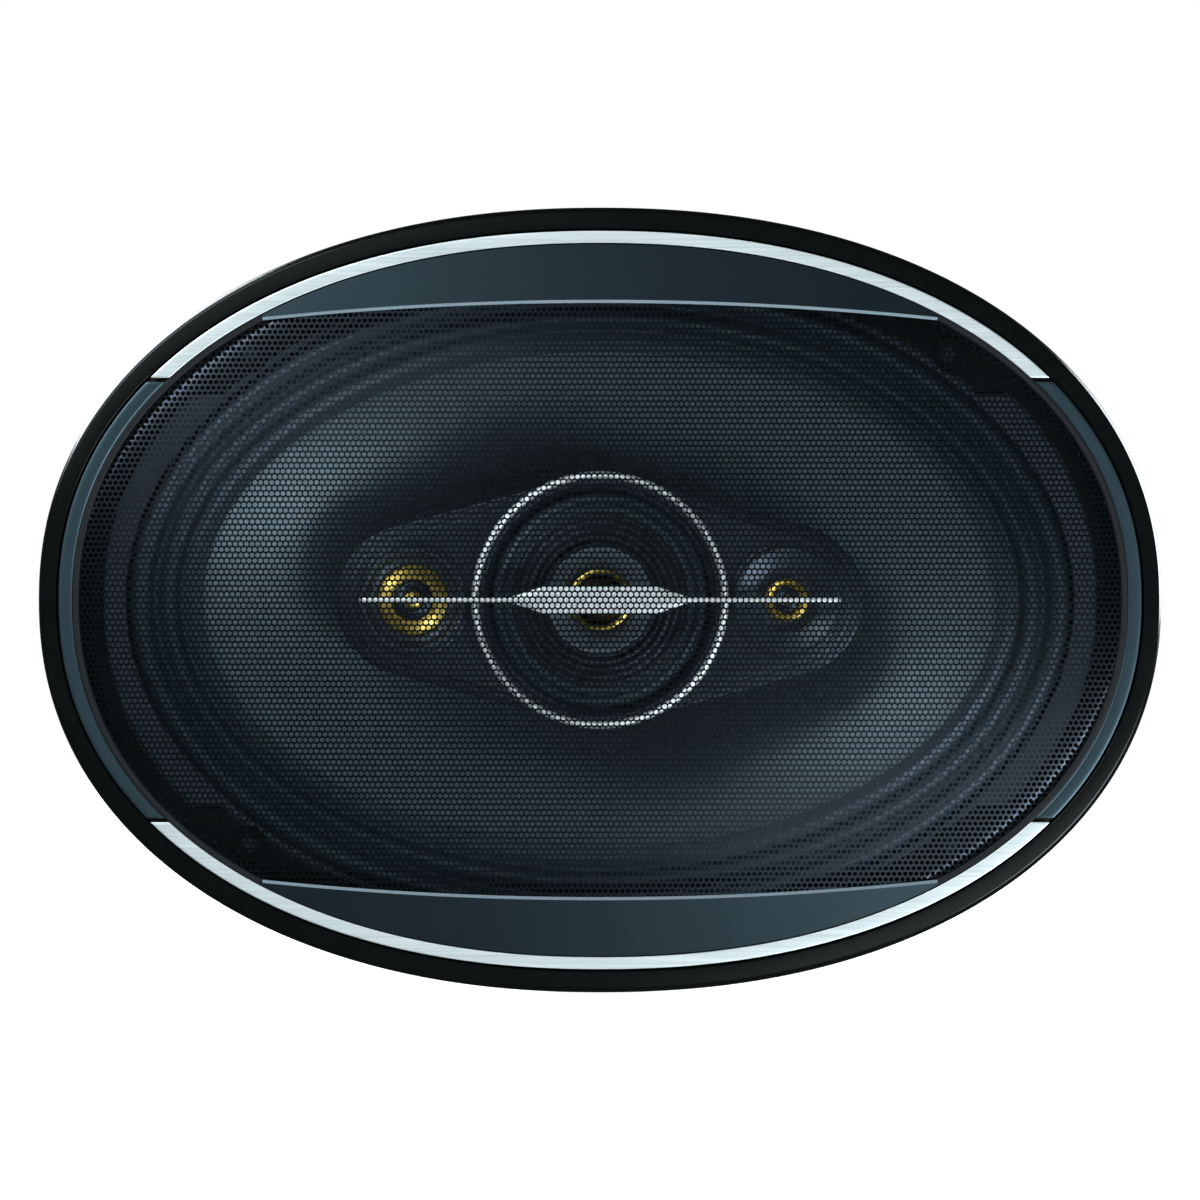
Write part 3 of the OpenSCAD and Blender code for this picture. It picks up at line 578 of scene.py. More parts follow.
@dataclass(frozen=True)
class Finish:
    """What every finish has: a name, the record's slot, two colours and a gloss."""

    name: str
    slot: str
    colour: str
    tint: str
    roughness: float
    glint: str = "#ffffff"

    def material(self) -> bpy.types.Material:
        """Return this finish's material, made the first time it is asked for.

        Returns:
            The material.
        """
        made = bpy.data.materials.get(self.name)
        if made:
            return made
        made = bpy.data.materials.new(self.name)
        made.use_nodes = True
        tree = made.node_tree
        tree.nodes.clear()
        shader = add(tree, "ShaderNodeBsdfPrincipled", {"Roughness": self.roughness})
        shader.inputs["Specular Tint"].default_value = linear(self.glint)
        add(tree, "ShaderNodeOutputMaterial", links={"Surface": shader.outputs["BSDF"]})
        place = add(tree, "ShaderNodeTexCoord")
        self.paint(tree, shader, place)
        return made

    def paint(self, tree: Tree, shader: Node, place: Node) -> None:
        """Add this finish's own nodes; each kind of finish has its own."""
        raise NotImplementedError

    def blotch(
        self, tree: Tree, shader: Node, vector: bpy.types.NodeSocket,
        size: float, low: float = 0.3, high: float = 0.7, detail: float = 4.0,
    ) -> Node:
        """Mix the two colours by a noise of a given size in millimetres.

        Args:
            tree: the material's node tree.
            shader: the material's surface shader.
            vector: socket of the place at which the noise is read.
            size: size of a blotch in millimetres.
            low: noise level at which the first colour ends.
            high: noise level at which the second colour is full.
            detail: octaves of the noise.

        Returns:
            The noise node, for use in roughness or bump.
        """
        noise = add(tree, "ShaderNodeTexNoise", {"Scale": 1 / (size * MM), "Detail": detail},
                    {"Vector": vector})
        ramp = add(tree, "ShaderNodeMapRange", {"From Min": low, "From Max": high},
                   {"Value": noise.outputs["Fac"]})
        mix = add(tree, "ShaderNodeMix", {"data_type": "RGBA"},
                  {"Factor": ramp.outputs["Result"]})
        mix.inputs[6].default_value = linear(self.colour)
        mix.inputs[7].default_value = linear(self.tint)
        tree.links.new(mix.outputs[2], shader.inputs["Base Color"])
        return noise

    def vary_gloss(
        self, tree: Tree, shader: Node, factor: bpy.types.NodeSocket, spread: float
    ) -> None:
        """Let the roughness vary about its value by a spread, driven by a factor.

        Args:
            tree: the material's node tree.
            shader: the material's surface shader.
            factor: socket that drives the change.
            spread: largest change either way.
        """
        gloss = add(tree, "ShaderNodeMapRange",
                    {"To Min": max(self.roughness - spread, 0.02),
                     "To Max": self.roughness + spread}, {"Value": factor})
        tree.links.new(gloss.outputs["Result"], shader.inputs["Roughness"])

    def bump(
        self, tree: Tree, shader: Node, height: bpy.types.NodeSocket,
        depth: float, strength: float = 1.0,
    ) -> None:
        """Raise the surface by a height pattern whose depth is in millimetres.

        Args:
            tree: the material's node tree.
            shader: the material's surface shader.
            height: socket of the height pattern.
            depth: depth of the pattern in millimetres.
            strength: share of the bump that shows.
        """
        bump = add(tree, "ShaderNodeBump", {"Distance": depth * MM, "Strength": strength},
                   {"Height": height})
        tree.links.new(bump.outputs["Normal"], shader.inputs["Normal"])


@dataclass(frozen=True)
class Moulded(Finish):
    """Injection-moulded plastic: the tool's fine grain, and a gloss that wanders a little."""

    grain: float = 0.35
    depth: float = 0.006
    coat: float = 0.0
    flake: float = 0.0
    shine: float = 0.5
    cloud: float = 0.05

    def paint(self, tree: Tree, shader: Node, place: Node) -> None:
        """Blotches, fine grain, and a lacquer where the finish has one.

        Args:
            tree: the material's node tree.
            shader: the material's surface shader.
            place: the texture coordinate node.
        """
        spots = self.blotch(tree, shader, place.outputs["Object"], 9.0)
        self.vary_gloss(tree, shader, spots.outputs["Fac"], self.cloud)
        grain = add(tree, "ShaderNodeTexNoise", {"Scale": 1 / (self.grain * MM), "Detail": 2.0},
                    {"Vector": place.outputs["Object"]})
        self.bump(tree, shader, grain.outputs["Fac"], self.depth)
        shader.inputs["IOR"].default_value = 1.5
        if self.coat > 0:
            shader.inputs["Coat Weight"].default_value = self.coat
            shader.inputs["Coat Roughness"].default_value = 0.06
        shader.inputs["Metallic"].default_value = self.flake
        shader.inputs["Specular IOR Level"].default_value = self.shine


@dataclass(frozen=True)
class Metal(Finish):
    """Plated or turned metal, with a grain that runs along, round the axis, or nowhere."""

    lines: str = "none"
    pitch: float = 0.12
    depth: float = 0.004
    spread: float = 0.08

    def paint(self, tree: Tree, shader: Node, place: Node) -> None:
        """Plating blotches and the marks of brushing or turning.

        Args:
            tree: the material's node tree.
            shader: the material's surface shader.
            place: the texture coordinate node.
        """
        shader.inputs["Metallic"].default_value = 1.0
        vector = place.outputs["Object"]
        if self.lines == "round":
            # radius and height only, so the marks run round the speaker's axis
            parts = add(tree, "ShaderNodeSeparateXYZ", links={"Vector": vector})
            flat = add(tree, "ShaderNodeCombineXYZ", links={
                "X": parts.outputs["X"], "Y": parts.outputs["Z"]})
            reach = add(tree, "ShaderNodeVectorMath", {"operation": "LENGTH"},
                        {0: flat.outputs["Vector"]})
            vector = add(tree, "ShaderNodeCombineXYZ", links={
                "X": reach.outputs["Value"], "Y": parts.outputs["Y"]}).outputs["Vector"]
        elif self.lines == "along":
            # long strokes along X, as from a linishing belt
            vector = add(tree, "ShaderNodeMapping", {"Scale": (0.012, 1.0, 1.0)},
                         {"Vector": vector}).outputs["Vector"]
        marks = add(tree, "ShaderNodeTexNoise", {"Scale": 1 / (self.pitch * MM), "Detail": 3.0},
                    {"Vector": vector})
        if self.lines != "none":
            self.blotch(tree, shader, vector, self.pitch * 1.7, 0.25, 0.75)
        else:
            self.blotch(tree, shader, place.outputs["Object"], 4.0)
        self.vary_gloss(tree, shader, marks.outputs["Fac"], self.spread)
        self.bump(tree, shader, marks.outputs["Fac"], self.depth)


@dataclass(frozen=True)
class PowderCoat(Finish):
    """Powder-coated steel: an even dark skin with the soft dimples of baked powder."""

    dimple: float = 0.5
    depth: float = 0.02
    shine: float = 0.5

    def paint(self, tree: Tree, shader: Node, place: Node) -> None:
        """Soft dimples and a slight change of shade.

        Args:
            tree: the material's node tree.
            shader: the material's surface shader.
            place: the texture coordinate node.
        """
        self.blotch(tree, shader, place.outputs["Object"], 14.0)
        dimples = add(tree, "ShaderNodeTexNoise",
                      {"Scale": 1 / (self.dimple * MM), "Detail": 1.0},
                      {"Vector": place.outputs["Object"]})
        self.vary_gloss(tree, shader, dimples.outputs["Fac"], 0.06)
        self.bump(tree, shader, dimples.outputs["Fac"], self.depth)
        shader.inputs["Specular IOR Level"].default_value = self.shine


@dataclass(frozen=True)
class Grainy(Finish):
    """Rubber, fibre board, ceramic or mica-filled plastic: speckled through and through."""

    speck: float = 0.3
    depth: float = 0.02
    low: float = 0.45
    high: float = 0.65
    metallic: float = 0.0

    def paint(self, tree: Tree, shader: Node, place: Node) -> None:
        """Specks of the second colour, with a fine tooth.

        Args:
            tree: the material's node tree.
            shader: the material's surface shader.
            place: the texture coordinate node.
        """
        specks = self.blotch(tree, shader, place.outputs["Object"], self.speck,
                             self.low, self.high, 2.0)
        self.vary_gloss(tree, shader, specks.outputs["Fac"], 0.06)
        self.bump(tree, shader, specks.outputs["Fac"], self.depth)
        shader.inputs["Metallic"].default_value = self.metallic


@dataclass(frozen=True)
class Woven(Finish):
    """Resin-dipped cloth or braid: over-and-under threads at their real spacing."""

    thread: float = 0.7
    depth: float = 0.08

    def paint(self, tree: Tree, shader: Node, place: Node) -> None:
        """Two sets of threads that cross, darker in the hollows.

        Args:
            tree: the material's node tree.
            shader: the material's surface shader.
            place: the texture coordinate node.
        """
        waves = []
        for direction in ("X", "Z"):
            waves.append(add(
                tree, "ShaderNodeTexWave",
                {"wave_type": "BANDS", "bands_direction": direction,
                 "Scale": 0.314 / (self.thread * MM), "Distortion": 0.6, "Detail": 1.0},
                {"Vector": place.outputs["Object"]}))
        weave = add(tree, "ShaderNodeMath", {"operation": "MAXIMUM"},
                    {0: waves[0].outputs["Fac"], 1: waves[1].outputs["Fac"]})
        mix = add(tree, "ShaderNodeMix", {"data_type": "RGBA"}, {"Factor": weave.outputs["Value"]})
        mix.inputs[6].default_value = linear(self.tint)
        mix.inputs[7].default_value = linear(self.colour)
        tree.links.new(mix.outputs[2], shader.inputs["Base Color"])
        self.bump(tree, shader, weave.outputs["Value"], self.depth)


@dataclass(frozen=True)
class Wound(Finish):
    """Enamelled wire wound side by side: fine turns stacked along the speaker's axis."""

    wire: float = 0.3

    def paint(self, tree: Tree, shader: Node, place: Node) -> None:
        """One band for each turn of wire.

        Args:
            tree: the material's node tree.
            shader: the material's surface shader.
            place: the texture coordinate node.
        """
        shader.inputs["Metallic"].default_value = 0.8
        turns = add(tree, "ShaderNodeTexWave",
                    {"wave_type": "BANDS", "bands_direction": "Y",
                     "Scale": 0.314 / (self.wire * MM)}, {"Vector": place.outputs["Object"]})
        mix = add(tree, "ShaderNodeMix", {"data_type": "RGBA"}, {"Factor": turns.outputs["Fac"]})
        mix.inputs[6].default_value = linear(self.tint)
        mix.inputs[7].default_value = linear(self.colour)
        tree.links.new(mix.outputs[2], shader.inputs["Base Color"])
        self.bump(tree, shader, turns.outputs["Fac"], 0.08)


# Polished black ABS: nearly black, with a faint gloss.
GLOSS_ABS = Moulded("polished_abs", "gloss_black", "#020303", "#030404", 0.2,
                    grain=2.5, depth=0.0002, shine=0.05, cloud=0.02)
# Dark metallic lacquer on ABS: fine flakes give the blue-grey glow of the panels.
PANEL_LACQUER = Moulded("metallic_lacquer", "panel_grey", "#131c20", "#141d21", 0.32,
                        grain=0.2, depth=0.0006, flake=0.8, shine=0.15, cloud=0.01)
# Its lighter edge rail: a painted highlight, pale grey where the bevel would catch the front light.
EDGE_HIGHLIGHT_LACQUER = Moulded("edge_painted_highlight", "panel_grey", "#3f4a50", "#434e54", 0.5,
                       grain=0.2, depth=0.001, flake=0.15, shine=0.35, cloud=0.01)
# The same lacquer a shade lighter, on the side accents.
ACCENT_LACQUER = Moulded("accent_lacquer", "accent_grey", "#1a2529", "#1b262b", 0.42,
                         grain=0.2, depth=0.0006, flake=0.8, shine=0.15, cloud=0.01)
# The carrier under the trim: the same ABS left with a fine matt texture.
MATT_ABS = Moulded("matt_abs", "module_black", "#040506", "#050607", 0.6,
                   grain=0.3, depth=0.003, shine=0.08)
# Aluminium strip brushed along its length, then clear anodised.
BRUSHED_ALUMINIUM = Metal("brushed_aluminium", "band_aluminium", "#989d9d", "#828889", 0.5,
                          lines="along", pitch=0.22, depth=0.004)
# Steel sheet, punched and powder coated black.
MESH_COAT = PowderCoat("punched_steel_coat", "grille_paint", "#010202", "#020303", 0.24,
                       dimple=0.4, depth=0.001, shine=0.13, glint="#d2e5ff")
# Deep-drawn steel sheet under baked black powder: a dull skin with soft dimples.
BASKET_COAT = PowderCoat("stamped_steel_coat", "black_paint", "#101112", "#17191a", 0.4,
                         dimple=0.9, depth=0.025)
# Polypropylene with mica flakes, injection moulded: a blue-grey satin cone.
CONE_MICA = Grainy("mica_polypropylene", "cone_plastic", "#404f57", "#586972", 0.45,
                   speck=0.25, depth=0.004, low=0.5, high=0.8, metallic=0.5)
# Moulded butyl rubber: a dark satin skin with hardly any shine.
BUTYL = Grainy("butyl_rubber", "black_rubber", "#101a1e", "#142024", 0.46,
               speck=0.8, depth=0.001, glint="#d2e5ff")
# Pressed fibre board, dyed through: matt, with short fibres on show.
FIBRE_BOARD = Grainy("pressed_fibre_board", "gasket_board", "#0a0e10", "#0f1518", 0.66,
                     speck=0.35, depth=0.01, glint="#d2e5ff")
# Sintered ferrite, ground flat: a dark grey ceramic with a dry tooth.
FERRITE = Grainy("ground_ferrite", "ferrite", "#1b1b1d", "#2a2a2c", 0.55,
                 speck=0.4, depth=0.03)
# Paper laminate in phenolic resin: brown, smooth and a little waxy.
PHENOLIC = Grainy("phenolic_laminate", "phenolic", "#4f2f1a", "#6b4527", 0.45,
                  speck=0.6, depth=0.02)
# Moulded ABS with a fine satin texture from its tool.
MODULE_ABS = Moulded("satin_abs", "module_black", "#0b1114", "#0f161a", 0.4,
                     grain=0.25, depth=0.003, shine=0.6, glint="#d2e5ff")
# The same ABS in a lighter shade, on the faces round the tweeters.
FACE_ABS = Moulded("tweeter_face_abs", "module_black", "#1c2328", "#222a2f", 0.4,
                   grain=0.25, depth=0.003, shine=0.6, glint="#d2e5ff")
# Thin moulded polypropylene: a dark satin cone.
MID_CONE_PP = Moulded("midrange_polypropylene", "mid_cone_plastic", "#0f1315", "#14191b", 0.38,
                      grain=0.3, depth=0.004, glint="#d2e5ff")
# The same plastic in grey, on the small inner cone.
WHIZZER_PP = Moulded("whizzer_polypropylene", "whizzer_grey", "#3f484e", "#495157", 0.42,
                     grain=0.3, depth=0.006, glint="#d2e5ff")
# Heat-shrunk PVC sleeve: smooth, glossy and tight over the can.
SLEEVE_PVC = Moulded("shrunk_pvc_sleeve", "capacitor_sleeve", "#1a2d5c", "#20376d", 0.25,
                     grain=0.6, depth=0.004)
# Trim pieces in bright satin plating.
SATIN_PLATE = Metal("satin_plating", "silver_metal", "#e6eaeb", "#dbe0e1", 0.56,
                    pitch=0.4, depth=0.001, spread=0.04)
# Moulded rings plated in gilt: a deep yellow that flashes at its edges.
GILT_PLATE = Metal("gilt_plating", "gilt", "#cdb562", "#b39a4b", 0.34,
                   pitch=0.3, depth=0.0005, spread=0.05)
# Zinc-plated and passivated steel: a pale metal with a faint yellow bloom.
ZINC_PLATE = Metal("zinc_plating", "zinc_steel", "#c9c8bd", "#adb0ab", 0.34,
                   pitch=0.5, depth=0.003)
# Turned and plated steel: fine rings from the tool catch the light.
TURNED_STEEL = Metal("turned_plated_steel", "plated_steel", "#8f9294", "#74787a", 0.36,
                     lines="round", pitch=0.22, depth=0.008)
# Rolled aluminium foil with a satin face, left blank.
LABEL_FOIL = Metal("satin_foil", "label_foil", "#8f9296", "#84888c", 0.5,
                   pitch=0.5, depth=0.001, spread=0.04)
# Stamped brass strip, bright from the press.
TAB_BRASS = Metal("stamped_brass", "brass", "#d4b56a", "#b8964b", 0.3,
                  pitch=0.3, depth=0.003)
# Tinned steel strip: a soft grey-white shine.
TIN_PLATE = Metal("tin_plating", "tinned_steel", "#c8cacb", "#b2b5b6", 0.3,
                  pitch=0.4, depth=0.003)
# Aluminium foil rolled into a tube and warmed by the coil's varnish.
FORMER_FOIL = Metal("former_aluminium", "former_aluminium", "#bdb6a4", "#a9a292", 0.4,
                    pitch=0.5, depth=0.002)
# Gilt painted nearly black for the dust cap's dish: painted shade, standing in for the shadow inside the
# dish.
SHADED_GILT = Metal("gilt_painted_shade", "gilt", "#2d2510", "#241e0d", 0.4,
                    pitch=0.3, depth=0.0005, spread=0.05)
# Polyester film with a metallised face, drawn to a dome.
DOME_FILM = Metal("metallised_film", "diaphragm_film", "#35404c", "#2f3944", 0.5,
                  pitch=0.4, depth=0.002)
# Cotton cloth dipped in resin and pressed to ripples: amber, with its weave on show.
SPIDER_CLOTH = Woven("resin_dipped_cloth", "spider_cloth", "#b08c45", "#7d5f2a", 0.75)
# Copper tinsel braided round a thread: many small glints.
TINSEL = Woven("tinsel_braid", "copper", "#c98a54", "#6e4526", 0.45, thread=0.5, depth=0.06)
# Copper wire under clear amber enamel, wound side by side.
COPPER = Wound("enamelled_copper_wire", "copper", "#c8763a", "#6d3516", 0.35)


def dress(
    piece: bpy.types.Object, finish: Finish, body: Body, replaces: Sequence[str] = ()
) -> bpy.types.Object:
    """Stand a piece up in the row frame, give it its finish and let it ride.

    Args:
        piece: a finished piece in the bench frame.
        finish: the finish of its surface.
        body: the body it moves with.
        replaces: the CAD nodes it stands for.

    Returns:
        The same piece.
    """
    stand_up(piece, finish, replaces)
    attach(piece, body.value)
    return piece


def stand_up(piece: bpy.types.Object, finish: Finish, replaces: Sequence[str] = ()) -> None:
    """Turn a bench piece into the row frame, give it its finish and its CAD nodes.

    Args:
        piece: a finished piece in the bench frame.
        finish: the finish of its surface.
        replaces: the CAD nodes it stands for.
    """
    deselect()
    piece.data.transform(Matrix.Rotation(math.radians(90), 4, "X"))
    piece.data.materials.clear()
    piece.data.materials.append(finish.material())
    if replaces:
        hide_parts(*replaces)
    LOG.info("%s: %d faces", piece.name, len(piece.data.polygons))


def repaint(frame: dict, node: str, finish: Finish) -> None:
    """Give a CAD node a finish in its own material slot.

    Args:
        frame: the CAD model, as loaded.
        node: name of the CAD node.
        finish: the finish of its surface.
    """
    held = frame["nodes"][node]
    if not held.material_slots:
        held.data.materials.append(finish.material())
    for material_slot in held.material_slots:
        material_slot.material = finish.material()


def flex(
    piece: bpy.types.Object, finish: Finish
) -> None:
    """Dress a piece that spans the basket and a moving body; it rides on no body.

    Args:
        piece: the piece in the bench frame.
        finish: its finish.
    """
    stand_up(piece, finish)
    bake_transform(piece)


# ------------------------------------------------------------------ grille


@dataclass
class Grille:
    """Pull-off grille: frame, punched mesh, bright strips, accents and panels."""

    outer_a: float = 118.5
    outer_b: float = 80.75
    inner_a: float = 115.5
    inner_b: float = 78.1
    lip_a: float = 113.9
    lip_b: float = 76.6
    rim_z: float = 9.4
    dome: float = 5.6
    pitch: float = 1.225
    row: float = 1.222
    hole: float = 0.52
    sheet: float = 0.4
    strip_end: float = 48.6
    accent_end: float = 47.7
    arc_height: float = 64.9
    arc_radius: float = 734.0
    sheets: int = 5

    def dome_height(self, x: float, y: float) -> float:
        """Height of the mesh's upper face at a place in the plan."""
        share = min(math.hypot(x / 114.8, y / 77.95), 1.0)
        return self.rim_z + self.dome * (1 - share**2.6) ** 0.8

    def arc(self, x: float, margin: float = 0.0) -> float:
        """Height up the front at which a panel's inner edge lies."""
        radius = self.arc_radius
        return self.arc_height + margin - radius + math.sqrt(radius**2 - x**2)

    def build(self) -> None:
        """Make and dress every piece of the grille."""
        self.frame()
        self.mesh()
        for side, word in ((1, "upper"), (-1, "lower")):
            self.strip(side, word)
            self.panel(side, word)
        for side, word in ((-1, "left"), (1, "right")):
            self.accent(side, word)
        self.clips()

    def frame(self) -> None:
        """The black carrier ring, with a lip that holds the edge of the mesh."""
        section = rounded([
            (118.0, 3.3), (118.4, 3.6, 0.2), (118.4, 8.6, 0.2), (115.6, 8.6, 0.1),
            (115.6, 9.7, 0.15), (115.2, 9.9, 0.3), (114.2, 9.9, 0.4), (113.9, 9.3, 0.3),
            (113.9, 8.4, 0.2), (114.9, 8.0), (114.9, 3.3),
        ])
        ring = press(lathe("grille_carrier", section, 256), [
            (113.9, self.lip_a, self.lip_b, TRIM), (118.5, self.outer_a, self.outer_b, TRIM)])
        dress(ring, MATT_ABS, Body.GRILLE, ["grille_frame"])

    def mesh(self) -> None:
        """Punched steel sheet: one cell is arrayed, trimmed to the opening and domed."""
        deselect()
        bpy.ops.mesh.primitive_circle_add(vertices=8, radius=self.hole * MM, fill_type="NOTHING")
        cell = bpy.context.object
        bpy.ops.object.mode_set(mode="EDIT")
        bpy.ops.mesh.select_all(action="SELECT")
        bpy.ops.mesh.extrude_edges_move()
        work = bmesh.from_edit_mesh(cell.data)
        for vertex in [v for v in work.verts if v.select]:
            x = round(vertex.co.x / self.hole / MM * 1.2)
            y = round(vertex.co.y / self.hole / MM * 1.2)
            vertex.co = Vector((x * self.pitch / 2, y * self.row / 2, 0)) * MM
        bmesh.update_edit_mesh(cell.data)
        bpy.ops.object.mode_set(mode="OBJECT")
        columns = 2 * int(self.inner_a / self.pitch) + 3
        pairs = int(self.arc_height / self.row / 2) + 1
        upper = copy_at(cell, "upper_row", Matrix.Translation((self.pitch / 2, self.row, 0)))
        pair = join("mesh_sheet", [cell, upper])
        apply_modifier(pair, "ARRAY", count=columns, use_relative_offset=False,
                       use_constant_offset=True, constant_offset_displace=(self.pitch * MM, 0, 0))
        apply_modifier(pair, "ARRAY", count=2 * pairs + 1, use_relative_offset=False,
                       use_constant_offset=True,
                       constant_offset_displace=(0, 2 * self.row * MM, 0))
        shift(pair, -(columns - 1) / 2 * self.pitch, -2 * pairs * self.row, 0)
        self.trim_mesh(pair)
        width = 2 * 115.0 / self.sheets
        for i in range(self.sheets):
            low = -115.0 + i * width
            part = copy_at(pair, f"mesh_sheet_{i + 1}", Matrix.Identity(4))
            self.keep_cells(part, lambda x, y: low <= x < low + width)
            self.form_sheet(part)
            dress(part, MESH_COAT, Body.GRILLE, ["grille_mesh"])
        bpy.data.objects.remove(pair, do_unlink=True)

    def trim_mesh(self, piece: bpy.types.Object) -> None:
        """Merge the cells and drop those that lie outside the opening.

        Args:
            piece: the mesh object to work on.
        """
        edge_a, edge_b = self.lip_a + 0.75, self.lip_b + 0.75
        self.keep_cells(piece, lambda x, y: (
            (abs(x) / edge_a) ** TRIM + (abs(y) / edge_b) ** TRIM < 1
            and abs(y) < self.arc(x, 0.8)))

    def keep_cells(
        self, piece: bpy.types.Object, rule: Callable[[float, float], bool]
    ) -> None:
        """Delete the faces of every cell whose centre fails a rule in plan.

        Args:
            piece: the sheet of cells.
            rule: says whether the cell at a place is kept.
        """
        pick(piece)
        bpy.ops.object.mode_set(mode="EDIT")
        bpy.ops.mesh.select_mode(type="FACE")
        bpy.ops.mesh.select_all(action="DESELECT")
        work = bmesh.from_edit_mesh(piece.data)
        for face in work.faces:
            spot = face.calc_center_median() / MM
            line = round(spot.y / self.row)
            offset = 0.5 if line % 2 else 0.0
            column = round(spot.x / self.pitch - offset) + offset
            face.select_set(not rule(column * self.pitch, line * self.row))
        bmesh.update_edit_mesh(piece.data)
        bpy.ops.mesh.delete(type="FACE")
        bpy.ops.object.mode_set(mode="OBJECT")

    def form_sheet(self, piece: bpy.types.Object) -> None:
        """Merge doubles, dome the sheet and give it its thickness.

        Args:
            piece: the mesh object to work on.
        """
        pick(piece)
        bpy.ops.object.mode_set(mode="EDIT")
        bpy.ops.mesh.select_mode(type="VERT")
        bpy.ops.mesh.select_all(action="SELECT")
        bpy.ops.mesh.delete_loose(use_verts=True, use_edges=True, use_faces=False)
        bpy.ops.mesh.select_all(action="SELECT")
        bpy.ops.mesh.remove_doubles(threshold=2e-5)
        bpy.ops.mesh.normals_make_consistent(inside=False)
        bpy.ops.object.mode_set(mode="OBJECT")
        if sum(p.normal.z for p in piece.data.polygons) < 0:
            piece.data.flip_normals()
        apply_modifier(piece, "SOLIDIFY", thickness=self.sheet * MM, offset=-1)
        for vertex in piece.data.vertices:
            x, y, z = vertex.co / MM
            vertex.co.z = (self.dome_height(x, y) + z) * MM
        piece.data.update()

    def band(
        self, name: str, low: float, high: float, rule: Callable[[float, float], Point2],
        crown: float, steps: int,
    ) -> bpy.types.Object:
        """A crowned strip between two ovals, whose rule gives its plan at two shares.

        Args:
            name: name of the new object.
            low: height of its two edges.
            high: height of its crown.
            rule: gives its plan at two shares.
            crown: power of the crown; higher is flatter.
            steps: facets along it.

        Returns:
            The strip.
        """

        def spot(u: float, v: float) -> Point3:
            """The strip's surface: its plan, raised by the crown."""
            x, y = rule(u, v)
            return (x, y, low + (high - low) * (1 - abs(2 * v - 1) ** crown))

        return patch(name, steps, 8, spot, 0.9, 0.12)

    def strip(self, side: int, word: str) -> None:
        """A bright strip over the top or bottom, cut off level at both ends.

        Args:
            side: 1 or -1 for the side of the speaker.
            word: the side's name, as it stands in the node names.
        """

        def plan(u: float, v: float) -> Point2:
            """Plan of the strip, from its level end round the oval.

            Args:
                u: share of the way along the piece.
                v: share of the way across the piece.

            Returns:
                The point in plan.
            """
            a = self.inner_a + (self.outer_a - self.inner_a) * v
            b = self.inner_b + (self.outer_b - self.inner_b) * v
            end = math.asin((self.strip_end / b) ** (TRIM / 2))
            x, y = oval_point(a, b, end + u * (math.pi - 2 * end))
            return (x, side * y)

        piece = self.band(f"bright_strip_{word}", 10.18, 10.2, plan, 2, 180)
        dress(piece, BRUSHED_ALUMINIUM, Body.GRILLE, [f"{word}_strip"])

    def accent(self, side: int, word: str) -> None:
        """A dark metallic accent at one end, between the ends of the strips.

        Args:
            side: 1 or -1 for the side of the speaker.
            word: the side's name, as it stands in the node names.
        """

        def plan(u: float, v: float) -> Point2:
            """Plan of the accent, about the end of the oval.

            Args:
                u: share of the way along the piece.
                v: share of the way across the piece.

            Returns:
                The point in plan.
            """
            a = self.inner_a + (self.outer_a - self.inner_a) * v
            b = self.inner_b + (self.outer_b - self.inner_b) * v
            end = math.asin((self.accent_end / b) ** (TRIM / 2))
            x, y = oval_point(a, b, (2 * u - 1) * end)
            return (side * x, y)

        piece = self.band(f"side_accent_{word}", 9.95, 10.1, plan, 4, 120)
        dress(piece, ACCENT_LACQUER, Body.GRILLE, [f"{word}_accent"])

    def panel(self, side: int, word: str) -> None:
        """A plain lacquered panel between the mesh and a bright strip.

        Args:
            side: 1 or -1 for the side of the speaker.
            word: the side's name, as it stands in the node names.
        """
        a, b = self.inner_a - 0.35, self.inner_b - 0.35
        corner = self.panel_corner(a, b)

        def face(u: float, v: float) -> Point3:
            """The panel's face, from its edge arc out to the oval.

            Args:
                u: share of the way along the piece.
                v: share of the way across the piece.

            Returns:
                The point of the face.
            """
            x = corner * (2 * u - 1)
            top = b * (1 - (abs(x) / a) ** TRIM) ** (1 / TRIM)
            y = self.arc(x, 0.65) + (top - self.arc(x, 0.65)) * v
            return (x, side * y, self.panel_height(x, y))

        def edge(u: float, v: float) -> Point3:
            """The bevelled rail along the panel's inner edge.

            Args:
                u: share of the way along the piece.
                v: share of the way across the piece.

            Returns:
                The point of the rail.
            """
            x = corner * (2 * u - 1)
            y = self.arc(x, 0.65 * v)
            return (x, side * y, self.panel_height(x, y) - 0.6 * (1 - v))

        piece = patch(f"panel_{word}", 160, 16, face, 1.5)
        dress(piece, PANEL_LACQUER, Body.GRILLE, [f"{word}_panel"])
        rail = patch(f"panel_edge_{word}", 160, 2, edge, 0.6)
        # the rail's pale grey is a painted highlight of the front light on the bevel
        dress(rail, EDGE_HIGHLIGHT_LACQUER, Body.GRILLE)

    def panel_height(self, x: float, y: float) -> float:
        """Height of a panel's face, which is crowned less than the mesh."""
        return self.rim_z + 1.2 + 7.0 * (1 - (x / 118.0) ** 2 - (y / 78.0) ** 2)

    def panel_corner(self, a: float, b: float) -> float:
        """Distance along the front at which a panel runs out between its arc and its oval.

        Args:
            a: half length of the oval.
            b: half height of the oval.

        Returns:
            The distance from the middle, in millimetres.
        """
        low, high = 40.0, 100.0
        for _ in range(40):
            x = (low + high) / 2
            if b * (1 - (x / a) ** TRIM) ** (1 / TRIM) > self.arc(x, 1.15):
                low = x
            else:
                high = x
        return low

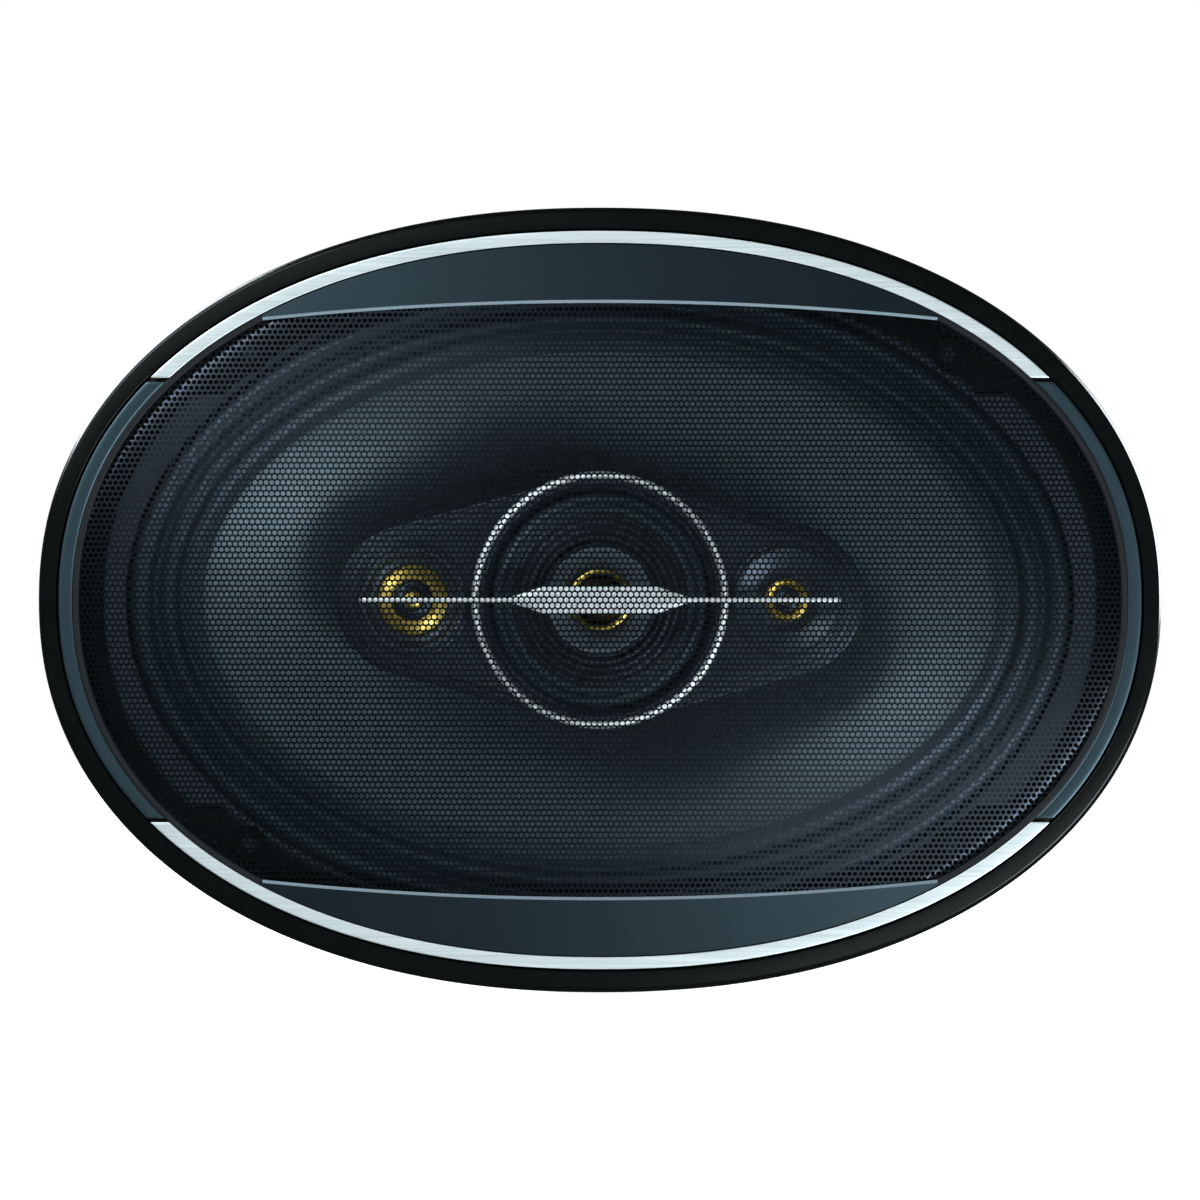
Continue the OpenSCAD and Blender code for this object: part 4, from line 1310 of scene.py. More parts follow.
    def clips(self) -> None:
        """Snap tongues under the carrier, each with a barbed end."""
        for i, degrees in enumerate((35, 65, 115, 145, 215, 245, 295, 325)):
            angle = math.radians(degrees)
            x, y = oval_point(116.475, 79.475, angle)
            turn = math.atan2(116.475 * math.sin(angle), 79.475 * math.cos(angle))
            outline = [(-3.5, -0.7), (3.5, -0.7), (3.5, 0.7), (-3.5, 0.7)]
            tongue = outline_plate(f"snap_clip_{i + 1}", outline, 1.8, 3.4)
            for vertex in tongue.data.vertices:
                if vertex.co.z < 2.5 * MM:
                    vertex.co.y *= 0.6
            apply_modifier(tongue, "BEVEL", width=0.2 * MM, segments=2, limit_method="ANGLE")
            tongue.data.transform(Matrix.Rotation(turn + math.pi / 2, 4, "Z"))
            shift(tongue, x, y, 0)
            dress(tongue, MODULE_ABS, Body.GRILLE, ["grille_clips"])


# ------------------------------------------------------------------ trim ring and basket


def gasket_outline(margin: float, ellipse: Point2 = (106.2, 73.5)) -> list[Point2]:
    """Outline of the gasket: an ellipse with two side lobes that are cut off level.

    Args:
        margin: how far the outline is grown, in millimetres.
        ellipse: half length and half height of its ellipse.

    Returns:
        The points of the outline.
    """
    ea, eb = ellipse[0] - margin, ellipse[1] - margin
    la, lb = 109.7 - margin, 74.0 - margin
    level = 45.95 - margin
    lobe_end = math.asin((level / lb) ** (TRIM / 2))
    oval_start = math.asin(level / eb)
    lobe = [oval_point(la, lb, lobe_end * k / 32) for k in range(33)]
    top = [oval_point(ea, eb, oval_start + (math.pi / 2 - oval_start) * k / 48, 2.0)
           for k in range(49)]
    quarter = lobe + top
    half = quarter + [(-x, y) for x, y in reversed(quarter[:-1])]
    return half + [(x, -y) for x, y in reversed(half[1:-1])]


@dataclass
class TrimRing:
    """The fixed outer ring, with the shelf that lies on the basket's flange."""

    half_length: float = 123.0
    half_height: float = 86.0
    hole_x: float = 77.075
    hole_y: float = 53.952

    def build(self) -> None:
        """Make and dress the rim, the shelf and the gasket."""
        self.rim()
        self.shelf()
        self.gasket()

    def rim(self) -> None:
        """The rounded gloss rim and its skirt."""
        section = rounded([
            (118.8, 0.05), (122.6, 0.0, 0.3), (123.0, 0.5, 0.4), (123.0, 7.4, 0.8),
            (122.3, 9.25, 0.8), (118.9, 9.5, 0.3), (118.45, 9.0, 0.3),
            (118.45, 2.2, 0.2), (118.8, 2.0, 0.1), (118.8, 0.05),
        ], 5)[:-1]
        ring = press(lathe("trim_rim", section, 320), [
            (118.45, 118.7, 80.95, TRIM), (123.0, self.half_length, self.half_height, TRIM)])
        dress(ring, GLOSS_ABS, Body.BASKET, ["base_ring"])

    def at_holes(self) -> list[Point2]:
        """The four mounting holes' centres."""
        return [(sx * self.hole_x, sy * self.hole_y) for sx in (-1, 1) for sy in (-1, 1)]

    def shelf(self) -> None:
        """The flat shelf inside the rim, opened for the gasket, screws and clips."""
        outline = [oval_point(119.0, 81.4, 2 * math.pi * k / 240) for k in range(240)]
        shelf = outline_plate("trim_shelf", outline, 1.25, 3.0, 0.15)
        cutters = [outline_plate("opening", gasket_outline(0.0), 0.0, 5.0)]
        for x, y in self.at_holes():
            cutters.append(drum("screw_hole", (x, y, 0.0), 2.25, 6.0, 40))
        for degrees in (35, 65, 115, 145, 215, 245, 295, 325):
            angle = math.radians(degrees)
            x, y = oval_point(116.475, 79.475, angle)
            turn = math.atan2(116.475 * math.sin(angle), 79.475 * math.cos(angle))
            slot = block("clip_slot", (-3.8, -1.0, 0.0), (3.8, 1.0, 5.0), 0.1, 1)
            slot.data.transform(Matrix.Rotation(turn + math.pi / 2, 4, "Z"))
            cutters.append(shift(slot, x, y, 0))
        cut(shelf, cutters)
        bosses = []
        for x, y in self.at_holes():
            boss = lathe("screw_boss", rounded([
                (2.25, 1.3), (3.9, 1.3), (3.9, 3.6, 0.4), (3.3, 3.6, 0.3), (3.3, 2.4, 0.2),
                (2.25, 2.4, 0.2), (2.25, 1.3)])[:-1], 40)
            bosses.append(shift(boss, x, y, 0))
        dress(join("trim_shelf", [shelf, *bosses]), MATT_ABS, Body.BASKET)
        for i, (x, y) in enumerate(self.at_holes()):
            # a thin black disc in each screw hole is painted shade, where the open hole would show the white
            # behind
            film = drum(f"screw_hole_shade_disc_{i + 1}", (x, y, 0.5), 2.25, 0.15, 40, 0.03)
            dress(film, BUTYL, Body.BASKET)

    def gasket(self) -> None:
        """The fibre ring that holds the surround down, notched round the screws."""
        gasket = outline_plate("clamp_gasket", gasket_outline(0.7), 1.8, 4.4, 0.4)
        opening = [oval_point(104.2, 71.5, 2 * math.pi * k / 240, 2.0) for k in range(240)]
        cutters = [outline_plate("opening", opening, 0.0, 8.0)]
        for x, y in self.at_holes():
            cutters.append(drum("notch", (x, y, 0.0), 4.2, 8.0, 40))
        cut(gasket, cutters)
        dress(gasket, FIBRE_BOARD, Body.BASKET, ["surround_gasket"])


@dataclass
class Basket:
    """Stamped steel basket: flange, windowed wall, spider seat, cup and floor."""

    sheet: float = 1.2
    side_spoke: float = 13.0
    top_spoke: float = 81.5

    SHAPE = [
        (46.0, 46.0, 46.0, 2.0), (51.9, 51.9, 47.8, 2.0), (103.0, 103.0, 70.3, 2.0),
        (104.5, 104.5, 71.8, 2.0), (118.5, 118.5, 81.5, TRIM),
    ]

    def build(self) -> None:
        """Make and dress the basket."""
        body = self.stamping()
        dress(body, BASKET_COAT, Body.BASKET, ["basket"])

    def stamping(self) -> bpy.types.Object:
        """The pressed sheet, as one surface that then gets its thickness.

        Returns:
            The stamping.
        """
        section = rounded([
            (118.5, 1.2), (104.6, 1.2, 1.6), (103.2, -3.6, 1.8), (96.0, -7.4),
            (85.0, -12.9), (74.0, -18.3), (63.0, -23.7), (54.0, -28.2, 3.0),
            (46.8, -38.0, 1.4), (39.6, -38.0, 1.2), (39.6, -48.8, 1.6), (21.8, -48.8),
        ], 3)
        piece = lathe("basket_stamping", section, 240, closed=False)
        pick(piece)
        bpy.ops.object.mode_set(mode="EDIT")
        bpy.ops.mesh.select_mode(type="FACE")
        bpy.ops.mesh.select_all(action="DESELECT")
        work = bmesh.from_edit_mesh(piece.data)
        for face in work.faces:
            spot = face.calc_center_median() / MM
            radius = math.hypot(spot.x, spot.y)
            turn = math.degrees(math.atan2(abs(spot.y), abs(spot.x)))
            window = self.side_spoke < turn < self.top_spoke and 53.9 < radius < 96.1
            face.select_set(window)
        bmesh.update_edit_mesh(piece.data)
        bpy.ops.mesh.delete(type="FACE")
        # the window edges are folded back, which stiffens the spokes
        bpy.ops.mesh.select_mode(type="EDGE")
        bpy.ops.mesh.select_all(action="DESELECT")
        work = bmesh.from_edit_mesh(piece.data)
        for edge in work.edges:
            spot = (edge.verts[0].co + edge.verts[1].co) / 2 / MM
            inside = 50 < math.hypot(spot.x, spot.y) < 99
            edge.select_set(edge.is_boundary and inside)
        bmesh.update_edit_mesh(piece.data)
        bpy.ops.mesh.extrude_edges_move(TRANSFORM_OT_translate={"value": (0, 0, -2.2 * MM)})
        bpy.ops.object.mode_set(mode="OBJECT")
        press(piece, self.SHAPE)
        self.emboss(piece)
        tidy(piece, 40)
        if sum(p.normal.z * p.area for p in piece.data.polygons) > 0:
            piece.data.flip_normals()
        apply_modifier(piece, "SOLIDIFY", thickness=self.sheet * MM, offset=1)
        holes = [drum("hole", (x, y, -2.0), 2.25, 6.0, 40) for x, y in TrimRing().at_holes()]
        for k in range(4):
            angle = math.radians(45 + 90 * k)
            holes.append(drum("hole", (33 * math.cos(angle), 33 * math.sin(angle), -52.0), 2.05, 6.0))
        cut(piece, holes)
        return tidy(piece, 40)

    def emboss(self, piece: bpy.types.Object) -> None:
        """Press a shallow stiffening rib down the middle of each spoke.

        Args:
            piece: the mesh object to work on.
        """
        for vertex in piece.data.vertices:
            x, y, z = vertex.co / MM
            if not -31 < z < -6:
                continue
            aside = min(abs(y) / 6.5 if abs(x) > abs(y) else 9, abs(x) / 5.5 if abs(y) > abs(x) else 9)
            if aside < 1:
                ends = min((z + 31) / 6, (-6 - z) / 6, 1.0)
                vertex.co.z -= 1.6 * MM * (0.5 + 0.5 * math.cos(math.pi * aside)) * ends
        piece.data.update()


@dataclass
class Motor:
    """Top plate, ring magnet, back plate with pole, label, centre post and fixings."""

    floor: float = -50.0
    back: float = -77.0

    def build(self, frame: dict) -> None:
        """Make and dress the motor.

        Args:
            frame: the CAD model, as loaded.
        """
        top = lathe("motor_top_plate", rounded([
            (18.8, -55.0), (41.4, -55.0, 0.4), (42.0, -54.4, 0.4), (42.0, -50.6, 0.4),
            (41.4, -50.0, 0.4), (18.8, -50.0), (18.8, -55.0)])[:-1], 160)
        dress(top, TURNED_STEEL, Body.BASKET, ["top_plate"])
        magnet = lathe("ring_magnet", rounded([
            (22.8, -71.0), (43.6, -71.0, 0.3), (45.0, -69.6, 0.3), (45.0, -56.4, 0.3),
            (43.6, -55.0, 0.3), (22.8, -55.0), (22.8, -71.0)])[:-1], 160)
        dress(magnet, FERRITE, Body.BASKET, ["magnet"])
        yoke = lathe("back_plate_and_pole", rounded([
            (5.05, -77.0), (11.0, -77.0, 0.4), (12.2, -76.4, 0.5), (37.6, -76.4, 0.5),
            (38.6, -77.0, 0.4), (40.4, -77.0, 0.6), (42.0, -75.4, 0.6), (42.0, -71.4, 0.4),
            (41.6, -71.0, 0.3), (18.2, -71.0), (16.2, -69.0, 1.0), (16.2, -50.6, 0.4),
            (15.6, -50.0, 0.3), (5.05, -50.0), (5.05, -77.0)])[:-1], 160)
        dress(yoke, TURNED_STEEL, Body.BASKET, ["yoke"])
        label = lathe("blank_label", rounded([
            (14.0, -76.42), (36.6, -76.42), (36.6, -76.52, 0.04), (34.6, -76.52), (34.5, -76.47),
            (34.1, -76.47), (34.0, -76.52), (14.0, -76.52, 0.04), (14.0, -76.42)], 2)[:-1], 160)
        dress(label, LABEL_FOIL, Body.BASKET, ["rear_label"])
        self.post()
        for node, finish in (("motor_screws", ZINC_PLATE),):
            repaint(frame, node, finish)

    def post(self) -> None:
        """The hollow centre post with its thread, washer and hexagon nut."""
        section = [(3.2, -83.0), (4.4, -83.0)]
        z = -82.6
        while z < -73.0:
            section += [(4.6, z), (5.0, z + 0.4), (5.0, z + 0.55), (4.6, z + 0.95)]
            z += 1.0
        section += rounded([
            (5.0, -72.8), (5.0, -49.95), (7.5, -49.95, 0.2), (7.5, -23.0, 1.5),
            (9.0, -20.0, 0.2), (3.2, -20.0)])
        dress(lathe("centre_post_turned", section, 96), TURNED_STEEL, Body.BASKET, ["centre_post"])
        washer = lathe("post_washer_flat", rounded([
            (5.05, -78.2), (9.8, -78.2, 0.3), (10.0, -77.9, 0.2), (10.0, -77.0), (5.05, -77.0),
            (5.05, -78.2)])[:-1], 96)
        dress(washer, ZINC_PLATE, Body.BASKET, ["post_washer"])
        deselect()
        bpy.ops.mesh.primitive_cylinder_add(
            vertices=6, radius=8.4 * MM, depth=4.2 * MM, location=(0, 0, -80.3 * MM))
        nut = bpy.context.object
        nut.name = nut.data.name = "post_nut_hexagon"
        bpy.ops.object.transform_apply(location=True, rotation=True, scale=True)
        apply_modifier(nut, "BEVEL", width=0.35 * MM, segments=3, limit_method="ANGLE")
        cone = lathe("chamfer", [(7.4, -83.5), (12, -83.5), (12, -80.2), (9.3, -80.2)], 64)
        cut(nut, [cone, drum("bore", (0, 0, -84.0), 5.05, 8.0, 64)])
        dress(nut, ZINC_PLATE, Body.BASKET, ["post_nut"])


@dataclass
class Terminals:
    """Terminal board on the top spoke, with two blades, rivets and the capacitor."""

    inner: float = 56.5
    outer: float = 70.0
    face: float = -22.0

    def build(self) -> None:
        """Make and dress the board and what it carries."""
        bracket = block("board_bracket", (-10.5, 53.0, self.face), (10.5, 68.0, -20.8), 0.3)
        dress(cut(bracket, [drum("hole", (x, 60.5, -25), 1.55, 8.0) for x in (-7, 7)]),
              BASKET_COAT, Body.BASKET)
        r = 2.0
        outline = [(22 - r, self.outer), (22 - 0.6, self.outer - 0.6), (22, self.outer - r),
                   (22, self.inner + r), (22 - 0.6, self.inner + 0.6), (22 - r, self.inner)]
        outline = outline + [(-x, y) for x, y in reversed(outline)]
        board = outline_plate("terminal_board_plate", outline, -24.0, -22.0, 0.15, True)
        cut(board, [drum("hole", (x, 60.5, -26), 1.55, 8.0) for x in (-7, 7)])
        dress(board, PHENOLIC, Body.BASKET, ["terminal_board"])
        rivet = lathe("board_rivet", rounded([
            (0.0, -24.9), (1.4, -24.9, 0.4), (2.6, -24.3, 0.3), (2.6, -24.0), (1.5, -24.0),
            (1.5, -20.8), (2.6, -20.8), (2.6, -20.4, 0.3), (1.6, -19.9, 0.5), (0.9, -19.9),
            (0.7, -20.6), (0.0, -20.6)]), 40, closed=False)
        right = copy_at(rivet, "board_rivet_right", Matrix.Translation((7, 60.5, 0)))
        shift(rivet, -7, 60.5, 0)
        dress(rivet, TAB_BRASS, Body.BASKET, ["board_rivets"])
        dress(right, TAB_BRASS, Body.BASKET)
        self.blade("positive_blade", 16.0, 6.3, TAB_BRASS, "positive_tab")
        self.blade("negative_blade", -16.0, 4.75, TIN_PLATE, "negative_tab")
        self.capacitor()

    def blade(self, name: str, x: float, width: float, finish: Finish, node: str) -> None:
        """A push-on blade with chamfered tip, latching hole and riveted foot.

        Args:
            name: name of the new object.
            x: its place along the board in millimetres.
            width: width of the blade in millimetres.
            finish: the finish of its surface.
            node: the CAD node that it stands for.
        """
        half = width / 2
        outline = [(-half, 0.0), (half, 0.0), (half, 8.6), (half - 1.0, 10.0),
                   (-half + 1.0, 10.0), (-half, 8.6)]
        blade = outline_plate(name, outline, -0.4, 0.4, 0.12, True, 2)
        cut(blade, [drum("latch", (0, 7.0, -2), 0.8, 4.0, 24)])
        # the blade stands off the back of the board, so its length points to the rear
        blade.data.transform(Matrix.Rotation(math.radians(-90), 4, "X"))
        shift(blade, x, self.inner + 6.0, -24.0)
        foot = block("foot", (x - half, self.inner + 5.6, -24.8), (x + half, self.inner + 11.6, -24.0), 0.15)
        head = drum("head", (x, self.inner + 9.0, -25.5), 1.4, 0.9, 24, 0.25)
        dress(join(name, [blade, foot, head]), finish, Body.BASKET, [node])

    def capacitor(self) -> None:
        """The bass-blocking capacitor, with its leads bent to the blades."""
        section = rounded([
            (0.0, -9.5), (3.2, -9.5, 0.2), (4.0, -9.1, 0.5), (4.2, -8.2, 0.4), (4.05, -7.4, 0.3),
            (4.2, -6.6, 0.3), (4.2, 8.6, 0.5), (3.7, 9.5, 0.5), (3.0, 9.2, 0.2), (0.0, 9.2)])
        can = lathe("crossover_capacitor_can", section, 64, closed=False)
        can.data.transform(Matrix.Rotation(math.radians(90), 4, "Y"))
        shift(can, 0, 65.0, -29.1)
        dress(can, SLEEVE_PVC, Body.BASKET, ["crossover_capacitor"])
        for side, word in ((1, "right"), (-1, "left")):
            lead = tube(f"capacitor_lead_{word}", [
                (side * 9.2, 65.0, -29.1), (side * 11.0, 65.0, -29.1), (side * 12.2, 65.0, -28.8),
                (side * 13.0, 65.2, -27.4), (side * 14.0, 65.4, -25.8), (side * 15.4, 65.5, -25.3)],
                0.35, 8)
            dress(lead, TIN_PLATE, Body.BASKET)


# ------------------------------------------------------------------ woofer


@dataclass
class Woofer:
    """Cone, surround, spider, voice coil and tinsel leads."""

    edge_a: float = 89.5
    edge_b: float = 56.8
    coil: float = 17.6
    neck: float = -32.0
    depth: float = 35.0

    def station(self, share: float) -> Point2:
        """Radius along the long axis and height of the cone at a share of its run.

        Args:
            share: share of the run from the neck to the rim.

        Returns:
            Radius along the long axis, and height.
        """
        return (
            17.7 + (self.edge_a - 17.7) * share,
            self.neck + self.depth * share**0.8,
        )

    def build(self, frame: dict) -> None:
        """Make and dress the woofer's moving and flexing pieces.

        Args:
            frame: the CAD model, as loaded.
        """
        self.cone()
        self.surround()
        self.spider()
        self.leads()
        repaint(frame, "coil_former", FORMER_FOIL)
        repaint(frame, "coil_winding", COPPER)

    def cone(self) -> None:
        """The pressed cone, with a rim that the surround is glued to and a neck collar."""
        shares = [k / 28 for k in range(29)]
        upper = [self.station(s) for s in shares]
        upper = upper[:-1] + [(88.6, 3.1), (89.5, 3.3)]
        lower = [(r, z - 0.7) for r, z in reversed(upper)]
        cone = press(lathe("woofer_cone_shell", upper + lower, 224),
                     [(17.7, 17.7, 17.7, 2.0), (self.edge_a, self.edge_a, self.edge_b, 2.0)])
        dress(cone, CONE_MICA, Body.WOOFER, ["woofer_cone"])
        glue = lathe("neck_glue_bead", rounded([
            (17.65, -31.0), (18.4, -31.2, 0.3), (18.9, -31.6, 0.3), (17.65, -32.0),
            (17.65, -31.0)])[:-1], 96)
        dress(glue, BUTYL, Body.WOOFER)

    def surround(self) -> None:
        """Two rolls of butyl rubber, made in sectors between basket and cone."""
        z = 3.0
        section = rounded([
            (-2.4, z + 0.75), (0.2, z + 0.75, 0.6), (1.6, z + 0.1, 1.0), (2.6, z - 0.4, 0.8),
            (3.6, z + 1.4, 1.6), (5.0, z + 2.5, 2.0), (6.6, z + 1.5, 1.6), (8.1, z - 0.4, 1.4),
            (9.6, z + 1.9, 2.0), (11.4, z + 3.0, 2.4), (13.2, z + 1.8, 1.8), (14.3, z - 1.2, 0.5),
            (15.1, z - 1.2)], 4)
        points = [(89.5 + d, h) for d, h in section]
        count = 24
        for i in range(count):
            sector = lathe(f"surround_sector_{i + 1:02d}", points, 12, closed=False,
                           start=360 * i / count, sweep=360 / count)
            press(sector, [(89.5, 89.5, 56.8, 2.0), (104.2, 104.2, 71.5, 2.0)])
            tidy(sector, 60)
            if sum(p.normal.z * p.area for p in sector.data.polygons) < 0:
                sector.data.flip_normals()
            apply_modifier(sector, "SOLIDIFY", thickness=0.4 * MM, offset=-1)
            tidy(sector, 60)
            middle = math.radians(360 * (i + 0.5) / count)
            outer = oval_point(104.2, 71.5, middle, 2.0)
            inner = oval_point(89.5, 56.8, middle, 2.0)
            normal = Vector((outer[0] / 104.2**2, outer[1] / 71.5**2)).normalized()
            reach = (Vector(outer) - Vector(inner)).dot(normal)
            inner = Vector(outer) - normal * reach
            flex(sector, BUTYL)
            if i == 0:
                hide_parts("surround")

    def spider(self) -> None:
        """The corrugated cloth spider, made in sectors between seat and coil."""
        points = [(43.0, -37.6), (40.0, -37.6), (38.4, -37.4)]
        for k in range(61):
            share = k / 60
            r = 38.0 - share * 18.6
            points.append((r, -35.4 - 1.0 * math.cos(share * 5 * 2 * math.pi)))
        points += [(18.6, -36.2), (17.75, -35.7)]
        for i in range(12):
            sector = lathe(f"spider_sector_{i + 1:02d}", points, 12, closed=False,
                           start=30 * i, sweep=30)
            if sum(p.normal.z * p.area for p in sector.data.polygons) < 0:
                sector.data.flip_normals()
            apply_modifier(sector, "SOLIDIFY", thickness=0.45 * MM, offset=0)
            tidy(sector, 60)
            flex(sector, SPIDER_CLOTH)
            if i == 0:
                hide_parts("spider")

    def leads(self) -> None:
        """Two braided leads from the terminal board to the back of the cone."""
        end_a = self.coil + (self.edge_a - self.coil) * 0.46
        end_b = self.coil + (self.edge_b - self.coil) * 0.46
        start = Vector((16.0, 62.5, -21.1))
        end = Vector((14.0, end_b * math.sqrt(1 - (14.0 / end_a) ** 2),
                      self.neck + self.depth * 0.46**0.8 - 2.6))
        for side, word in ((1, "positive"), (-1, "negative")):
            path = []
            for k in range(19):
                t = k / 18
                spot = start.lerp(end, t)
                path.append((side * spot.x, spot.y, spot.z + 3.2 * math.sin(2 * math.pi * t)))
            lead = tube(f"tinsel_lead_{word}", path, 0.75, 16)
            flex(lead, TINSEL)
            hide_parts(f"{word}_tinsel_lead")


# ------------------------------------------------------------------ centre module


@dataclass
class Module:
    """The housing in front of the cone, with its midrange and two tweeters."""

    centre_radius: float = 27.6
    lobe_radius: float = 16.8
    lobe_x: float = 41.0
    top: float = 8.0

    def outline(self, margin: float, steps: int = 24) -> list[Point2]:
        """Outline round the middle and both round ends, grown by a margin.

        Args:
            margin: how far the outline is grown, in millimetres.
            steps: points round each end.

        Returns:
            The points of the outline.
        """
        big, small = self.centre_radius + margin, self.lobe_radius + margin
        lean = math.asin((self.centre_radius - self.lobe_radius) / self.lobe_x)
        turn = math.pi / 2 - lean
        lobe = [(self.lobe_x + small * math.cos(turn * k / steps), small * math.sin(turn * k / steps))
                for k in range(steps + 1)]
        middle = [(big * math.cos(turn + (math.pi / 2 - turn) * k / 8),
                   big * math.sin(turn + (math.pi / 2 - turn) * k / 8)) for k in range(9)]
        quarter = lobe + middle
        half = quarter + [(-x, y) for x, y in reversed(quarter[:-1])]
        return half + [(x, -y) for x, y in reversed(half[1:-1])]

    def build(self, frame: dict) -> None:
        """Make and dress the module.

        Args:
            frame: the CAD model, as loaded.
        """
        self.housing()
        self.back_cover()
        self.bright_trim()
        self.midrange()
        self.left_tweeter()
        self.right_tweeter()
        for node, finish in (
            ("module_screws", ZINC_PLATE), ("mid_magnet", FERRITE), ("mid_yoke", TURNED_STEEL),
            ("mid_coil", COPPER), ("left_magnet", TURNED_STEEL), ("right_magnet", TURNED_STEEL),
            ("tweeter_capacitors", SLEEVE_PVC),
        ):
            repaint(frame, node, finish)

    def housing(self) -> None:
        """The stepped moulding, bored for the three drivers."""
        base = outline_plate("module_body", self.outline(0.0), -2.0, 5.8, 0.6)
        step = outline_plate("step", self.outline(-0.9), 5.6, 6.9, 0.4)
        crown = outline_plate("crown", self.outline(-2.2), 6.7, 8.0, 0.6)
        collar = lathe("collar", rounded([
            (26.5, -1.9), (27.6, -1.9), (27.95, 7.6), (27.95, 9.2, 0.3), (27.5, 9.5, 0.3),
            (26.5, 9.5), (26.5, -1.9)])[:-1], 160)
        pods = []
        for side in (-1, 1):
            pod = lathe("pod", rounded([
                (10.4, -1.9), (11.0, -1.9), (12.6, 7.4), (12.6, 8.4, 0.3), (12.2, 8.6, 0.2),
                (10.4, 8.6), (10.4, -1.9)])[:-1], 96)
            pods.append(shift(pod, side * self.lobe_x, 0, 0))
        hollow = outline_plate("hollow", self.outline(-1.6), -3.0, 4.2)
        shells = []
        for part in (base, step, crown):
            bores = [drum("bore", (0, 0, -4), 26.9, 20, 160)]
            bores += [drum("bore", (side * self.lobe_x, 0, -4), 10.9, 20, 96) for side in (-1, 1)]
            if part is base:
                bores.append(hollow)
            shells.append(cut(part, bores))
        piece = join("module_housing_moulding", [*shells, collar, *pods])
        dress(piece, MODULE_ABS, Body.BASKET, ["module_housing"])

    def back_cover(self) -> None:
        """The rear cover and the bowl that stands on the centre post."""
        plate = outline_plate("module_rear_plate", self.outline(-1.0), -3.6, -2.1, 0.3)
        cut(plate, [drum("bore", (0, 0, -6), 20.7, 8, 96)])
        bowl = lathe("bowl", rounded([
            (3.3, -19.9), (9.0, -19.9, 0.4), (14.0, -17.0, 1.5), (22.5, -3.2, 0.6), (22.4, -2.4),
            (20.8, -2.4, 0.4), (13.0, -15.2, 1.2), (3.3, -18.0), (3.3, -19.9)])[:-1], 128)
        dress(join("module_rear_cover", [plate, bowl]), MODULE_ABS, Body.BASKET,
              ["module_back_cover"])

    def bright_trim(self) -> None:
        """The bright ring, the bar across it, and the blank badge plate."""
        ring = lathe("midrange_bright_ring", rounded([
            (26.5, 9.6), (28.15, 9.6, 0.2), (28.15, 11.3, 0.5), (27.75, 11.85, 0.5),
            (27.33, 12.0, 0.4), (26.9, 11.85, 0.5), (26.5, 11.3, 0.5), (26.5, 9.6)], 4)[:-1], 200)
        dress(ring, SATIN_PLATE, Body.BASKET, ["mid_ring"])
        bar = block("badge_bar_rod", (-52.6, -0.65, 12.1), (52.6, 0.65, 13.1), 0.48, 5)
        legs = [block("leg", (side * 51.8 - 0.8, -0.65, 10.1), (side * 51.8 + 0.8, 0.65, 12.6), 0.2)
                for side in (-1, 1)]
        dress(join("badge_bar_rod", [bar, *legs]), SATIN_PLATE, Body.BASKET, ["badge_bar"])

        def spot(u: float, v: float) -> Point3:
            """The plate's crowned face, tapering to both tips.

            Args:
                u: share of the way along the piece.
                v: share of the way across the piece.

            Returns:
                The point of the surface.
            """
            x = 20.9 * (2 * u - 1)
            taper = min(max(abs(x) - 12.6, 0.0) / 8.3, 1.0)
            half = 0.3 + 2.6 * (1 - taper) ** 1.15
            across = 2 * v - 1
            return (x, half * across, 13.3 + 0.5 * min(half / 2.0, 1.0) * (1 - across**2))

        plate = patch("blank_badge_plate", 96, 14, spot, 0.35)
        dress(plate, SATIN_PLATE, Body.BASKET, ["badge_plate"])

    def midrange(self) -> None:
        """Frame, ribbed cone, flexing edge, whizzer and gilt dust cap."""
        frame = lathe("midrange_frame_moulding", rounded([
            (26.4, 9.5), (25.5, 9.5, 0.2), (25.2, 4.6, 0.3), (23.1, 4.6, 0.3), (22.5, 3.4, 0.6),
            (14.0, -4.3, 0.8), (8.6, -4.3), (8.6, -5.5), (14.6, -5.5, 0.6), (23.3, 2.2, 0.6),
            (26.4, 2.2), (26.4, 9.5)])[:-1], 160)
        dress(frame, MODULE_ABS, Body.BASKET, ["mid_frame"])
        upper = [(6.7, -2.4)]
        for k in range(41):
            share = k / 40
            r = 7.2 + share * 12.6
            rib = 0.22 * math.cos(share * 8 * 2 * math.pi) if r > 11.0 else 0.0
            upper.append((r, -2.0 + 7.2 * share**0.85 + rib))
        upper.append((20.8, 5.6))
        cone = lathe("midrange_cone_shell", upper + [(r, z - 0.6) for r, z in reversed(upper)], 128)
        dress(cone, MID_CONE_PP, Body.MIDRANGE, ["mid_cone"])
        whizzer = lathe("whizzer_cone", rounded([
            (7.4, -1.4), (7.4, 1.0, 0.6), (9.0, 3.1, 1.0), (11.7, 4.8, 0.2), (11.7, 5.3, 0.2),
            (11.2, 5.3, 0.2), (8.6, 3.5, 1.0), (6.9, 1.4, 0.6), (6.9, -1.4), (7.4, -1.4)])[:-1], 96)
        dress(whizzer, WHIZZER_PP, Body.MIDRANGE, ["mid_whizzer"])
        # the dish's near-black gilt is painted shade for its shadowed hollow
        cap = lathe("midrange_dust_dish", rounded([
            (0.0, 1.5), (2.6, 1.3), (4.6, 0.6, 0.5), (5.9, 2.4), (5.6, 2.4), (4.5, 0.2, 0.5),
            (2.6, 0.9), (0.0, 1.1)]), 96, closed=False)
        dress(cap, SHADED_GILT, Body.MIDRANGE, ["mid_dust_cap"])
        lip = lathe("midrange_gilt_lip", rounded([
            (5.6, 2.2), (5.7, 3.0, 0.2), (6.3, 3.6, 0.3), (6.8, 3.3, 0.25), (6.8, 2.2), (5.6, 2.2)
        ])[:-1], 96)
        dress(lip, GILT_PLATE, Body.MIDRANGE)
